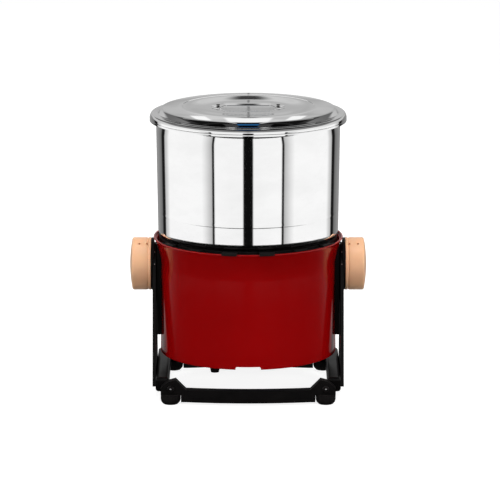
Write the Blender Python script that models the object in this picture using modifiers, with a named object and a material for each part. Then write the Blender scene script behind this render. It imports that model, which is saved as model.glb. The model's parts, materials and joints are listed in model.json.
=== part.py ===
"""Tilting tabletop wet grinder. Metres, +Z up, front at -Y, table at Z = 0."""

from math import atan2, cos, hypot, pi, radians, sin, sqrt, tan

import bmesh
import bpy
from mathutils import Matrix, Vector

MM = 0.001

# Shared clearances and turning steps
GAP = 0.3 * MM
RUN_GAP = 0.8 * MM
OVERRUN = 4.0 * MM
MERGE = 0.00005
FINE_STEPS = 36
ROUND_STEPS = 24
SMALL_STEPS = 14
CORNER_STEPS = 3

# Housing shell
SHELL_RADIUS = 120.0 * MM
SHELL_WALL = 3.0 * MM
SHELL_FOOT_LIP = 1.0 * MM
SHELL_FOOT_LIP_HEIGHT = 5.0 * MM
RIM_FLARE = 10.0 * MM
RIM_LIP = 5.0 * MM
FLARE_HEIGHT = 40.0 * MM
FLARE_POWER = 2.0
FLARE_STATIONS = 5
NOTCH_HALF_WIDTH = 17.0 * MM
NOTCH_HEIGHT = 4.0 * MM
PIVOT_ABOVE_BASE = 121.0 * MM
PIVOT_BELOW_RIM = 39.5 * MM
SWING_GAP = 2.88 * MM

# Feet and bars of the stand
FOOT_RADIUS = 13.5 * MM
FOOT_HEIGHT = 14.0 * MM
FOOT_EDGE_RADIUS = 7.0 * MM
FOOT_INSET = 25.4 * MM
BAR_SETBACK = 24.0 * MM
BAR_THICKNESS = 14.0 * MM
BAR_BOTTOM_Z = 4.0 * MM
BAR_HEIGHT = 17.0 * MM
BAR_BOW = 7.0 * MM
BAR_WEB_STATIONS = 9
LOBE_WIDTH = 14.0 * MM
LOBE_PEAK_INSET = 7.0 * MM
LOBE_RISE = 14.0 * MM
LOBE_END_RISE = 9.0 * MM
RAIL_WIDTH = 18.0 * MM
RAIL_HEIGHT = 20.0 * MM
RAIL_EDGE = 4.0 * MM
BOLT_RADIUS = 3.0 * MM
BOLT_HEAD_RADIUS = 4.6 * MM
BOLT_HEAD_CROWN_RADIUS = 3.2 * MM
BOLT_HEAD_HEIGHT = 2.4 * MM
BOLT_LENGTH = 26.0 * MM
BOLT_RISE = 8.4 * MM

# Side arms
ARM_GAP = 6.0 * MM
ARM_THICKNESS = 4.4 * MM
ARM_HEAD_RADIUS = 29.5 * MM
ARM_FOOT_HALF = 64.0 * MM
ARM_LEG_WIDTH = 22.0 * MM
ARM_WINDOW_RADIUS = 7.0 * MM
ARM_SILL = 36.0 * MM
ARM_NECK = 42.0 * MM

# Deck that closes the housing under the drum
DECK_THICKNESS = 3.0 * MM
DECK_DEPTH = 10.5 * MM
DECK_UPSTAND = 2.8 * MM
DECK_HOLE_RADIUS = 14.0 * MM
TAB_COUNT = 16
TAB_FREE_ANGLE = radians(20.0)
TAB_WIDTH = 20.0 * MM
TAB_OVERHANG = 4.0 * MM
TAB_THICKNESS = 2.2 * MM

# Bottom cover, gland and rear switch
COVER_THICKNESS = 3.0 * MM
COVER_RECESS = 4.5 * MM
VENT_COUNT = 8
VENT_LENGTH = 34.0 * MM
VENT_WIDTH = 5.0 * MM
VENT_INSET = 55.0 * MM
GLAND_BEARING = radians(242.0)
GLAND_INSET = 21.0 * MM
GLAND_RADIUS = 8.0 * MM
GLAND_NECK_RADIUS = 5.5 * MM
GLAND_BORE_RADIUS = 3.4 * MM
GLAND_DROP = 11.0 * MM
GLAND_FLANGE = 3.0 * MM
SWITCH_RISE = 39.0 * MM
SWITCH_WIDTH = 34.0 * MM
SWITCH_HEIGHT = 22.0 * MM
SWITCH_DEPTH = 12.0 * MM
SWITCH_BEZEL = 3.0 * MM
SWITCH_BEZEL_PROUD = 2.4 * MM
ROCKER_GAP = 0.6 * MM
ROCKER_TILT = radians(7.0)
ROCKER_PROUD = 2.6 * MM
ROCKER_BACK = 1.5 * MM

# Pivots
BRACKET_HALF_DEPTH = 19.0 * MM
BRACKET_INSET = 12.0 * MM
BRACKET_ABOVE_PIVOT = 26.0 * MM
BRACKET_BELOW_PIVOT = 96.0 * MM
BRACKET_EDGE = 1.2 * MM
TRUNNION_RADIUS = 8.0 * MM
TRUNNION_HEAD_RADIUS = 13.0 * MM
TRUNNION_HEAD_HEIGHT = 5.0 * MM
TRUNNION_REACH = 16.0 * MM
KNOB_RADIUS = 36.0 * MM
KNOB_LENGTH = 31.0 * MM
KNOB_DOME = 3.0 * MM
KNOB_DOME_STATIONS = 3
KNOB_EDGE = 3.0 * MM
KNOB_GROOVE = 0.7 * MM
KNOB_COLLAR = 5.0 * MM

# Drive inside the housing
CHASSIS_DEPTH = 40.5 * MM
CHASSIS_THICKNESS = 3.0 * MM
BEARING_RADIUS = 25.0 * MM
BEARING_HEIGHT = 9.0 * MM
BEARING_LIP = 3.0 * MM
PULLEY_HEIGHT = 13.0 * MM
PULLEY_SPACING = 9.0 * MM
GROOVE_DEPTH = 4.0 * MM
GROOVE_SLOPE = 2.0 * MM
MOTOR_RADIUS = 38.0 * MM
MOTOR_HEIGHT = 92.0 * MM
MOTOR_CROWN = 6.0 * MM
MOTOR_GAP = 8.0 * MM
MOTOR_PULLEY_RADIUS = 12.0 * MM
SHAFT_RADIUS = 5.0 * MM
NUT_RADIUS = 13.0 * MM
NUT_HEIGHT = 6.0 * MM
BELT_THICKNESS = 3.0 * MM
BELT_HEIGHT = 4.0 * MM
BELT_ARC_STEPS = 18

# Drum, base stone and pillar
DRUM_LIFT = 4.5 * MM
DRUM_INSET = 7.0 * MM
DRUM_TAPER = 2.5 * MM
DRUM_WALL = 1.5 * MM
DRUM_CORNER = 6.0 * MM
DRUM_RIM_LIP = 2.6 * MM
RIM_ROLL_START = 110
RIM_ROLL_END = -80
BEAD_RISE = 32.0 * MM
BEAD_PROUD = 1.0 * MM
BEAD_HALF_HEIGHT = 2.0 * MM
STONE_GAP = 5.0 * MM
STONE_THICKNESS = 25.0 * MM
STONE_EDGE = 3.0 * MM
STONE_BORE_RADIUS = 14.0 * MM
PILLAR_RADIUS = 11.0 * MM
PILLAR_FLANGE_RADIUS = 30.0 * MM
PILLAR_FLANGE = 3.0 * MM
PILLAR_HEADROOM = 4.0 * MM
SPINDLE_RADIUS = 7.0 * MM

# Roller stones, their holder and the scraper
CONE_HALF_ANGLE = radians(22.0)
ROLLER_MARGIN = 6.3 * MM
ROLLER_LENGTH = 60.0 * MM
ROLLER_EDGE = 2.5 * MM
ROLLER_BORE_RADIUS = 6.5 * MM
AXLE_RADIUS = 5.0 * MM
AXLE_END = 9.0 * MM
AXLE_SEAT = 4.0 * MM
CAP_RADIUS = 12.0 * MM
CAP_CROWN_RADIUS = 10.5 * MM
CAP_CROWN = 3.0 * MM
HOLDER_RADIUS = 18.0 * MM
HOLDER_ABOVE_ROLLERS = 13.4 * MM
HOLDER_CAP = 8.0 * MM
HOLDER_HEAD_RADIUS = 22.0 * MM
HOLDER_HEAD_HEIGHT = 14.0 * MM
LOCK_RADIUS = 19.0 * MM
LOCK_HEIGHT = 17.0 * MM
LOCK_THREAD = 8.5 * MM
LOCK_LOBES = 6
LOCK_LOBE_DEPTH_SHARE = 0.12
LOCK_STEPS = 48
SCRAPER_THICKNESS = 4.0 * MM
SCRAPER_ARM_HEIGHT = 12.0 * MM
SCRAPER_BLADE_WIDTH = 24.0 * MM
SCRAPER_GAP = 3.0 * MM

# Lid
LID_HEADROOM = 35.0 * MM
LID_FLANGE_HEIGHT = 10.5 * MM
LID_FIT = 4.7 * MM
LID_SHEET = 1.2 * MM
LID_BRIM_EDGE = 3.0 * MM
LID_BRIM_WIDTH = 14.5 * MM
LID_PLATEAU_RISE = 7.0 * MM
LID_PLATEAU_EDGE = 3.0 * MM
LID_PLATEAU_WIDTH = 41.5 * MM
LID_DISH_DROP = 3.0 * MM
LID_DISH_SLOPE = 3.0 * MM
STRAP_HALF_LENGTH = 50.0 * MM
STRAP_FOOT = 13.0 * MM
STRAP_WIDTH = 24.0 * MM
STRAP_THICKNESS = 2.4 * MM
STRAP_RISE = 8.0 * MM
STRAP_RAMP = 6.0 * MM
STRAP_TOE = 2.0 * MM
STRAP_TOE_HALF_WIDTH = 15.0 * MM
STRAP_TIP_HALF_WIDTH = 3.0 * MM
STRAP_EDGE = 0.6 * MM

# Heights that follow, from the table up
PIVOT_Z = hypot(SHELL_RADIUS + SHELL_FOOT_LIP, PIVOT_ABOVE_BASE) + SWING_GAP
SHELL_BOTTOM_Z = PIVOT_Z - PIVOT_ABOVE_BASE
RIM_Z = PIVOT_Z + PIVOT_BELOW_RIM
DECK_FLOOR_Z = RIM_Z - DECK_DEPTH
SWITCH_Z = SHELL_BOTTOM_Z + SWITCH_RISE
BRACKET_TOP_Z = PIVOT_Z + BRACKET_ABOVE_PIVOT
BRACKET_BOTTOM_Z = PIVOT_Z - BRACKET_BELOW_PIVOT
RAIL_BOTTOM_Z = FOOT_HEIGHT + 2 * GAP
BOLT_Z = FOOT_HEIGHT + BOLT_RISE
LOBE_PEAK_Z = BAR_BOTTOM_Z + BAR_HEIGHT + LOBE_RISE
ARM_FOOT_Z = FOOT_HEIGHT + OVERRUN / 2
ARM_WINDOW_BOTTOM_Z = ARM_FOOT_Z + ARM_SILL
ARM_WINDOW_TOP_Z = PIVOT_Z - ARM_NECK
CHASSIS_TOP_Z = RIM_Z - CHASSIS_DEPTH
CHASSIS_BOTTOM_Z = CHASSIS_TOP_Z - CHASSIS_THICKNESS
BEARING_TOP_Z = CHASSIS_TOP_Z + GAP + BEARING_HEIGHT
PULLEY_BOTTOM_Z = BEARING_TOP_Z + GAP
PULLEY_TOP_Z = PULLEY_BOTTOM_Z + PULLEY_HEIGHT
DRUM_BOTTOM_Z = RIM_Z + DRUM_LIFT
BEAD_Z = DRUM_BOTTOM_Z + BEAD_RISE
STONE_BOTTOM_Z = DRUM_BOTTOM_Z + DRUM_WALL + GAP
STONE_TOP_Z = STONE_BOTTOM_Z + STONE_THICKNESS
CONE_APEX_Z = STONE_TOP_Z + GAP

# Widths and reaches that follow, from the shell out and in
SHELL_INNER_RADIUS = SHELL_RADIUS - SHELL_WALL
RIM_RADIUS = SHELL_RADIUS + RIM_FLARE
ARM_INNER_X = SHELL_RADIUS + ARM_GAP
ARM_OUTER_X = ARM_INNER_X + ARM_THICKNESS
RAIL_X = ARM_INNER_X - GAP - RAIL_WIDTH / 2
FOOT_X = ARM_OUTER_X - FOOT_INSET
LOBE_PEAK_X = FOOT_X - LOBE_PEAK_INSET
LOBE_INNER_X = LOBE_PEAK_X - LOBE_WIDTH
BAR_AXLE_Y = SHELL_RADIUS - BAR_SETBACK
GLAND_X = (SHELL_INNER_RADIUS - GLAND_INSET) * cos(GLAND_BEARING)
GLAND_Y = (SHELL_INNER_RADIUS - GLAND_INSET) * sin(GLAND_BEARING)
VENT_RING_RADIUS = SHELL_INNER_RADIUS - VENT_INSET
MOTOR_OFFSET_Y = SHELL_INNER_RADIUS - MOTOR_GAP - MOTOR_RADIUS
PULLEY_RADIUS = MOTOR_OFFSET_Y - MOTOR_PULLEY_RADIUS - PULLEY_SPACING
DRUM_BOTTOM_RADIUS = RIM_RADIUS - DRUM_INSET
DRUM_TOP_RADIUS = DRUM_BOTTOM_RADIUS + DRUM_TAPER
STONE_RADIUS = DRUM_BOTTOM_RADIUS - DRUM_CORNER - STONE_GAP
ROLLER_OUTER = (STONE_RADIUS - ROLLER_MARGIN) * cos(CONE_HALF_ANGLE)
ROLLER_INNER = ROLLER_OUTER - ROLLER_LENGTH
ROLLER_LARGE_RADIUS = (ROLLER_OUTER - ROLLER_EDGE) * tan(CONE_HALF_ANGLE)

# Heights over the rollers, up to the lid
ROLLER_TOP_Z = CONE_APEX_Z + ROLLER_OUTER * sin(CONE_HALF_ANGLE) + ROLLER_LARGE_RADIUS * cos(CONE_HALF_ANGLE)
HOLDER_TOP_Z = ROLLER_TOP_Z + HOLDER_ABOVE_ROLLERS
PILLAR_TOP_Z = HOLDER_TOP_Z - HOLDER_CAP - PILLAR_HEADROOM
DRUM_TOP_Z = HOLDER_TOP_Z + LOCK_HEIGHT + LID_HEADROOM
LID_BRIM_Z = DRUM_TOP_Z + GAP + LID_SHEET
LID_FLANGE_Z = LID_BRIM_Z - LID_FLANGE_HEIGHT
LID_PLATEAU_Z = LID_BRIM_Z + LID_PLATEAU_RISE
LID_DISH_Z = LID_PLATEAU_Z - LID_DISH_DROP
LID_BRIM_RADIUS = DRUM_TOP_RADIUS + DRUM_RIM_LIP + LID_FIT + LID_SHEET
LID_PLATEAU_RADIUS = LID_BRIM_RADIUS - LID_BRIM_WIDTH
LID_DISH_RADIUS = LID_PLATEAU_RADIUS - LID_PLATEAU_WIDTH


# Materials

MATERIALS = {
    "mirror steel": ((0.62, 0.62, 0.63), 1.0, 0.12),
    "brushed steel": ((0.50, 0.50, 0.51), 1.0, 0.35),
    "red shell": ((0.32, 0.01, 0.012), 0.0, 0.22),
    "black plastic": ((0.012, 0.012, 0.013), 0.0, 0.45),
    "cream plastic": ((0.80, 0.56, 0.36), 0.0, 0.38),
    "rubber": ((0.02, 0.02, 0.02), 0.0, 0.8),
    "granite": ((0.16, 0.16, 0.17), 0.0, 0.7),
    "cast metal": ((0.25, 0.26, 0.27), 1.0, 0.5),
    "white plastic": ((0.75, 0.74, 0.70), 0.0, 0.4),
    "switch red": ((0.55, 0.02, 0.02), 0.0, 0.35),
}


def material_for(obj, look):
    """Give obj a Principled material of its own in one of the listed looks."""
    colour, metallic, roughness = MATERIALS[look]
    material = bpy.data.materials.new(f"{obj.name} {look}")
    material.use_nodes = True
    shader = material.node_tree.nodes["Principled BSDF"]
    shader.inputs["Base Color"].default_value = (*colour, 1.0)
    shader.inputs["Metallic"].default_value = metallic
    shader.inputs["Roughness"].default_value = roughness
    obj.data.materials.append(material)


# Scene and collections


def clear_scene():
    for obj in list(bpy.data.objects):
        bpy.data.objects.remove(obj, do_unlink=True)


def new_collection(name, hidden=False):
    collection = bpy.data.collections.new(name)
    bpy.context.scene.collection.children.link(collection)
    collection.hide_render = hidden
    return collection


clear_scene()
PARTS = new_collection("Wet grinder")
CUTTERS = new_collection("Cutters", hidden=True)


def add_part(name, data, look, parent=None):
    obj = bpy.data.objects.new(name, data)
    PARTS.objects.link(obj)
    material_for(obj, look)
    if parent:
        carry(obj, parent)
    return obj


def add_cutter(name, data):
    obj = bpy.data.objects.new(name, data)
    CUTTERS.objects.link(obj)
    obj.display_type = "WIRE"
    obj.hide_render = True
    return obj


def carry(obj, parent):
    """Parent obj to an empty and keep the place that its own location states."""
    obj.parent = parent
    obj.matrix_parent_inverse = Matrix.Translation(-Vector(parent.location))


def joint_empty(name, location, parent=None):
    empty = bpy.data.objects.new(name, None)
    PARTS.objects.link(empty)
    empty.empty_display_size = FOOT_RADIUS
    empty.location = location
    if parent:
        carry(empty, parent)
    return empty


# Shape helpers


def arc(centre_r, centre_z, radius, start, end, steps=CORNER_STEPS):
    """Points of an arc in a profile, angles in degrees from the +R direction."""
    return [
        (
            centre_r + radius * cos(radians(start + (end - start) * i / steps)),
            centre_z + radius * sin(radians(start + (end - start) * i / steps)),
        )
        for i in range(steps + 1)
    ]


def profile_mesh(name, profile, closed):
    """A profile of (radius, height) points on the XZ plane, as bare edges."""
    mesh = bpy.data.meshes.new(name)
    edges = [(i, i + 1) for i in range(len(profile) - 1)]
    if closed:
        edges.append((len(profile) - 1, 0))
    mesh.from_pydata([(r, 0.0, z) for r, z in profile], edges, [])
    return mesh


def turn(obj, steps):
    screw = obj.modifiers.new("Turn", "SCREW")
    screw.angle = 2 * pi
    screw.steps = steps
    screw.render_steps = steps
    screw.use_merge_vertices = True
    screw.merge_threshold = MERGE
    screw.use_smooth_shade = True


def turned(name, profile, look, parent=None, steps=ROUND_STEPS, closed=True):
    """Revolve a profile that runs down the outer side, then up the inner one."""
    obj = add_part(name, profile_mesh(name, profile, closed), look, parent)
    turn(obj, steps)
    return obj


def turned_cutter(name, profile, steps=ROUND_STEPS):
    obj = add_cutter(name, profile_mesh(name, profile, closed=False))
    turn(obj, steps)
    return obj


def rod_profile(radius, top, bottom, edge=0.0):
    """Half outline of a solid rod, from the axis out and back to the axis."""
    if not edge:
        return [(0.0, top), (radius, top), (radius, bottom), (0.0, bottom)]
    return [
        (0.0, top),
        (radius - edge, top),
        (radius, top - edge),
        (radius, bottom + edge),
        (radius - edge, bottom),
        (0.0, bottom),
    ]


def tube_profile(outer, inner, top, bottom):
    return [(outer, top), (outer, bottom), (inner, bottom), (inner, top)]


def rod_cutter(name, radius, top, bottom, steps=SMALL_STEPS):
    """A round cutter along its own Z axis, from bottom to top."""
    mesh = bpy.data.meshes.new(name)
    shape = bmesh.new()
    bmesh.ops.create_cone(
        shape,
        cap_ends=True,
        segments=steps,
        radius1=radius,
        radius2=radius,
        depth=top - bottom,
        matrix=Matrix.Translation((0.0, 0.0, (top + bottom) / 2)),
    )
    shape.to_mesh(mesh)
    shape.free()
    return add_cutter(name, mesh)


def add_block(shape, low, high, turned_by=0.0):
    """Add a cube to shape, stretched between two corners and turned about Z."""
    size = Vector(high) - Vector(low)
    centre = Matrix.Translation((Vector(low) + Vector(high)) / 2)
    matrix = Matrix.Rotation(turned_by, 4, "Z") @ centre @ Matrix.Diagonal((*size, 1.0))
    bmesh.ops.create_cube(shape, size=1.0, matrix=matrix)


def block_mesh(name, low, high):
    mesh = bpy.data.meshes.new(name)
    shape = bmesh.new()
    add_block(shape, low, high)
    shape.to_mesh(mesh)
    shape.free()
    return mesh


def outline_curve(name, outlines, thickness):
    """A flat outline and its holes as a 2D curve, half the thickness each way."""
    curve = bpy.data.curves.new(name, "CURVE")
    curve.dimensions = "2D"
    curve.fill_mode = "BOTH"
    curve.extrude = thickness / 2
    for outline in outlines:
        spline = curve.splines.new("POLY")
        spline.points.add(len(outline) - 1)
        for point, (x, y) in zip(spline.points, outline):
            point.co = (x, y, 0.0, 1.0)
        spline.use_cyclic_u = True
    return curve


def outline_mesh(name, outlines, thickness):
    """The same plate as a closed mesh, for pieces that are bevelled or cut."""
    guide = bpy.data.objects.new(f"{name} outline", outline_curve(name, outlines, thickness))
    CUTTERS.objects.link(guide)
    bpy.context.view_layer.update()
    seen = guide.evaluated_get(bpy.context.evaluated_depsgraph_get())
    mesh = bpy.data.meshes.new_from_object(seen)
    bpy.data.objects.remove(guide, do_unlink=True)
    shape = bmesh.new()
    shape.from_mesh(mesh)
    bmesh.ops.remove_doubles(shape, verts=shape.verts, dist=MERGE)
    shape.to_mesh(mesh)
    shape.free()
    return mesh


def loft_mesh(name, sections):
    """Loft through four-cornered sections, each (x, front y, back y, low z, high z)."""
    points, faces = [], []
    for x, front, back, low, high in sections:
        points += [(x, front, low), (x, back, low), (x, back, high), (x, front, high)]
    for i in range(len(sections) - 1):
        for side in range(4):
            a, b = 4 * i + side, 4 * i + (side + 1) % 4
            faces.append((a, b, b + 4, a + 4))
    last = 4 * (len(sections) - 1)
    faces += [(3, 2, 1, 0), (last, last + 1, last + 2, last + 3)]
    mesh = bpy.data.meshes.new(name)
    mesh.from_pydata(points, [], faces)
    return mesh


def soften(obj, width, segments=1):
    bevel = obj.modifiers.new("Edges", "BEVEL")
    bevel.width = width
    bevel.segments = segments
    bevel.limit_method = "ANGLE"
    bevel.angle_limit = radians(40)


def boolean(obj, tool, operation="DIFFERENCE"):
    modifier = obj.modifiers.new(f"{operation.title()} {tool.name}", "BOOLEAN")
    modifier.operation = operation
    modifier.object = tool
    modifier.solver = "EXACT"


def thicken(obj, thickness):
    """Give an open turned sheet its gauge, inwards from the drawn side."""
    solid = obj.modifiers.new("Gauge", "SOLIDIFY")
    solid.thickness = thickness
    solid.offset = -1.0
    solid.use_even_offset = True


def curve_plate(name, outlines, thickness, look, parent=None):
    return add_part(name, outline_curve(name, outlines, thickness), look, parent)


def circle(centre_x, centre_y, radius, steps=SMALL_STEPS):
    return [
        (centre_x + radius * cos(2 * pi * i / steps), centre_y + radius * sin(2 * pi * i / steps))
        for i in range(steps)
    ]


# Stand


def bar_top(x):
    """Height of the bar's upper edge, which rises to a lobe at each end."""
    side = abs(x)
    low = BAR_BOTTOM_Z + BAR_HEIGHT
    end = FOOT_X + FOOT_RADIUS
    if side <= LOBE_INNER_X:
        return low
    if side <= LOBE_PEAK_X:
        share = (side - LOBE_INNER_X) / (LOBE_PEAK_X - LOBE_INNER_X)
        return low + (LOBE_PEAK_Z - low) * share
    share = (side - LOBE_PEAK_X) / (end - LOBE_PEAK_X)
    return LOBE_PEAK_Z - (LOBE_PEAK_Z - FOOT_HEIGHT - LOBE_END_RISE) * share**2


def bar_front_y(x):
    share = min(abs(x) / LOBE_INNER_X, 1.0)
    return -BAR_THICKNESS / 2 - BAR_BOW * (1.0 - share**2)


def bar_stations():
    """Places across the bar, with two rows where the lower edge steps over the foot."""
    end = FOOT_X + FOOT_RADIUS
    step = FOOT_X - FOOT_RADIUS - GAP
    lobe_shares = (0.45, 0.8, 1.0)
    outer = [LOBE_PEAK_X + (end - LOBE_PEAK_X) * share for share in lobe_shares]
    web = [LOBE_INNER_X * (2 * i / (BAR_WEB_STATIONS - 1) - 1) for i in range(BAR_WEB_STATIONS)]
    right = [(step - GAP, BAR_BOTTOM_Z), (step, FOOT_HEIGHT + GAP)]
    right += [(x, FOOT_HEIGHT + GAP) for x in [LOBE_PEAK_X, *outer]]
    left = [(-x, low) for x, low in reversed(right)]
    return left + [(x, BAR_BOTTOM_Z) for x in web] + right


def bar_mesh(name):
    sections = []
    for x, low in bar_stations():
        front = bar_front_y(x)
        sections.append((x, front, front + BAR_THICKNESS, low, bar_top(x)))
    return loft_mesh(name, sections)


def make_bar(name, facing):
    """Front bar at facing -1, rear bar at +1, both bowed outwards."""
    obj = add_part(name, bar_mesh(name), "black plastic")
    obj.location = (0.0, facing * BAR_AXLE_Y, 0.0)
    if facing > 0:
        obj.rotation_euler = (0.0, 0.0, pi)
    for side in (-1, 1):
        reach = OVERRUN + BAR_THICKNESS
        bore = rod_cutter(f"{name} bolt hole {side}", BOLT_RADIUS + GAP, reach, -reach)
        bore.rotation_euler = (pi / 2, 0.0, 0.0)
        bore.location = (side * FOOT_X, facing * BAR_AXLE_Y, BOLT_Z)
        boolean(obj, bore)
    return obj


def make_foot(name, x, y):
    """Rubber foot with a rounded lower edge, standing under a lobe."""
    profile = [(0.0, FOOT_HEIGHT), (FOOT_RADIUS, FOOT_HEIGHT)]
    profile += arc(FOOT_RADIUS - FOOT_EDGE_RADIUS, FOOT_EDGE_RADIUS, FOOT_EDGE_RADIUS, 0, -90)
    profile.append((0.0, 0.0))
    foot = turned(name, profile, "rubber", steps=SMALL_STEPS, closed=False)
    foot.location = (x, y, 0.0)
    return foot


def make_bolt(name, x, facing):
    """Pan-head bolt through a lobe into the end of the side rail."""
    head = BAR_THICKNESS / 2 + GAP
    profile = [
        (0.0, head + BOLT_HEAD_HEIGHT),
        (BOLT_HEAD_CROWN_RADIUS, head + BOLT_HEAD_HEIGHT),
        (BOLT_HEAD_RADIUS, head + BOLT_HEAD_HEIGHT / 2),
        (BOLT_HEAD_RADIUS, head),
        (BOLT_RADIUS, head),
        (BOLT_RADIUS, head + BOLT_HEAD_HEIGHT - BOLT_LENGTH),
        (0.0, head + BOLT_HEAD_HEIGHT - BOLT_LENGTH),
    ]
    bolt = turned(name, profile, "brushed steel", steps=SMALL_STEPS, closed=False)
    bolt.rotation_euler = (-facing * pi / 2, 0.0, 0.0)
    bolt.location = (x, facing * BAR_AXLE_Y, BOLT_Z)
    return bolt


def make_rail(name, side):
    """Side rail between the two bars, with a bolt bore in each end."""
    half = BAR_AXLE_Y - BAR_THICKNESS / 2 - GAP
    low = (-RAIL_WIDTH / 2, -half, 0.0)
    high = (RAIL_WIDTH / 2, half, RAIL_HEIGHT)
    rail = add_part(name, block_mesh(name, low, high), "black plastic")
    rail.location = (side * RAIL_X, 0.0, RAIL_BOTTOM_Z)
    soften(rail, RAIL_EDGE, segments=3)
    for end in (-1, 1):
        bore = rod_cutter(f"{name} bore {end}", BOLT_RADIUS + GAP, BOLT_LENGTH + OVERRUN, -BOLT_LENGTH)
        bore.rotation_euler = (pi / 2, 0.0, 0.0)
        bore.location = (side * FOOT_X, end * BAR_AXLE_Y, BOLT_Z)
        boolean(rail, bore)
    return rail


def arm_outline():
    """Tapered arm: round head at the pivot, straight sides down to a broad foot."""
    rise = PIVOT_Z - ARM_FOOT_Z
    reach = hypot(ARM_FOOT_HALF, rise)
    along = sqrt(reach**2 - ARM_HEAD_RADIUS**2)
    tangent = atan2(rise, ARM_FOOT_HALF) + pi / 2 - atan2(along, ARM_HEAD_RADIUS)
    start = -(tangent - pi / 2) if tangent > pi / 2 else pi / 2 - tangent
    steps = 2 * SMALL_STEPS
    head = []
    for i in range(steps + 1):
        angle = start + (pi - 2 * start) * i / steps
        head.append((ARM_HEAD_RADIUS * cos(angle), PIVOT_Z + ARM_HEAD_RADIUS * sin(angle)))
    return [(-ARM_FOOT_HALF, ARM_FOOT_Z), (ARM_FOOT_HALF, ARM_FOOT_Z), *head]


def rounded_corner(before, corner, after, radius, steps=CORNER_STEPS):
    """Fillet one corner of an outline."""
    to_before = (Vector(before) - Vector(corner)).normalized()
    to_after = (Vector(after) - Vector(corner)).normalized()
    half = to_before.angle(to_after) / 2
    centre = Vector(corner) + (to_before + to_after).normalized() * radius / sin(half)
    first = Vector(corner) + to_before * radius / tan(half) - centre
    last = Vector(corner) + to_after * radius / tan(half) - centre
    turn_angle = first.angle_signed(last)
    points = []
    for i in range(steps + 1):
        angle = -turn_angle * i / steps
        x = first.x * cos(angle) - first.y * sin(angle)
        y = first.x * sin(angle) + first.y * cos(angle)
        points.append((centre.x + x, centre.y + y))
    return points


def arm_window():
    """Three-cornered window that leaves two legs of even width."""
    def half_width(z):
        share = (PIVOT_Z - z) / (PIVOT_Z - ARM_FOOT_Z)
        return ARM_HEAD_RADIUS + (ARM_FOOT_HALF - ARM_HEAD_RADIUS) * share - ARM_LEG_WIDTH

    low, high = half_width(ARM_WINDOW_BOTTOM_Z), half_width(ARM_WINDOW_TOP_Z)
    corners = [
        (-low, ARM_WINDOW_BOTTOM_Z),
        (low, ARM_WINDOW_BOTTOM_Z),
        (high, ARM_WINDOW_TOP_Z),
        (-high, ARM_WINDOW_TOP_Z),
    ]
    outline = []
    for i, corner in enumerate(corners):
        outline += rounded_corner(corners[i - 1], corner, corners[(i + 1) % 4], ARM_WINDOW_RADIUS)
    return outline


def make_arm(name, side):
    hole = circle(0.0, PIVOT_Z, TRUNNION_RADIUS + GAP, ROUND_STEPS)
    arm = curve_plate(name, [arm_outline(), arm_window(), hole], ARM_THICKNESS, "black plastic")
    arm.rotation_euler = (pi / 2, 0.0, pi / 2)
    arm.location = (side * (ARM_OUTER_X - ARM_THICKNESS / 2), 0.0, 0.0)
    return arm


def make_stand():
    make_bar("front_bar", -1)
    make_bar("rear_bar", 1)
    for side, hand in ((-1, "left"), (1, "right")):
        make_arm(f"side_frame_{hand}", side)
        make_rail(f"side_rail_{hand}", side)
        for facing, end in ((-1, "front"), (1, "rear")):
            make_foot(f"foot_{end}_{hand}", side * FOOT_X, facing * BAR_AXLE_Y)
            make_bolt(f"frame_bolt_{end}_{hand}", side * FOOT_X, facing)


# Housing


def shell_radius(z):
    """Outer radius of the shell, straight below and flared below the rim."""
    share = max(0.0, (z - (RIM_Z - FLARE_HEIGHT)) / FLARE_HEIGHT)
    return SHELL_RADIUS + (RIM_RADIUS - SHELL_RADIUS) * share**FLARE_POWER


def flare_heights():
    """Heights from just under the lip down to the foot of the flare."""
    top = RIM_Z - RIM_LIP / 2
    foot = RIM_Z - FLARE_HEIGHT
    return [top + (foot - top) * i / FLARE_STATIONS for i in range(FLARE_STATIONS + 1)]


def shell_profile():
    lip = RIM_LIP / 2
    profile = [(RIM_RADIUS - lip + x, z) for x, z in arc(0.0, RIM_Z - lip, lip, 90, 0)]
    profile = profile[:-1] + [(shell_radius(z), z) for z in flare_heights()]
    foot_top = SHELL_BOTTOM_Z + SHELL_FOOT_LIP_HEIGHT
    profile += [
        (SHELL_RADIUS, foot_top + SHELL_FOOT_LIP),
        (SHELL_RADIUS + SHELL_FOOT_LIP, foot_top),
        (SHELL_RADIUS + SHELL_FOOT_LIP, SHELL_BOTTOM_Z + SHELL_FOOT_LIP),
        (SHELL_RADIUS, SHELL_BOTTOM_Z),
        (SHELL_INNER_RADIUS, SHELL_BOTTOM_Z),
    ]
    profile += [(shell_radius(z) - SHELL_WALL, z) for z in reversed(flare_heights()[1:])]
    profile += [(RIM_RADIUS - RIM_LIP, RIM_Z - RIM_LIP), (RIM_RADIUS - RIM_LIP, RIM_Z - lip)]
    profile += [(RIM_RADIUS - lip + x, z) for x, z in arc(0.0, RIM_Z - lip, lip, 180, 90)[1:-1]]
    return profile


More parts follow.
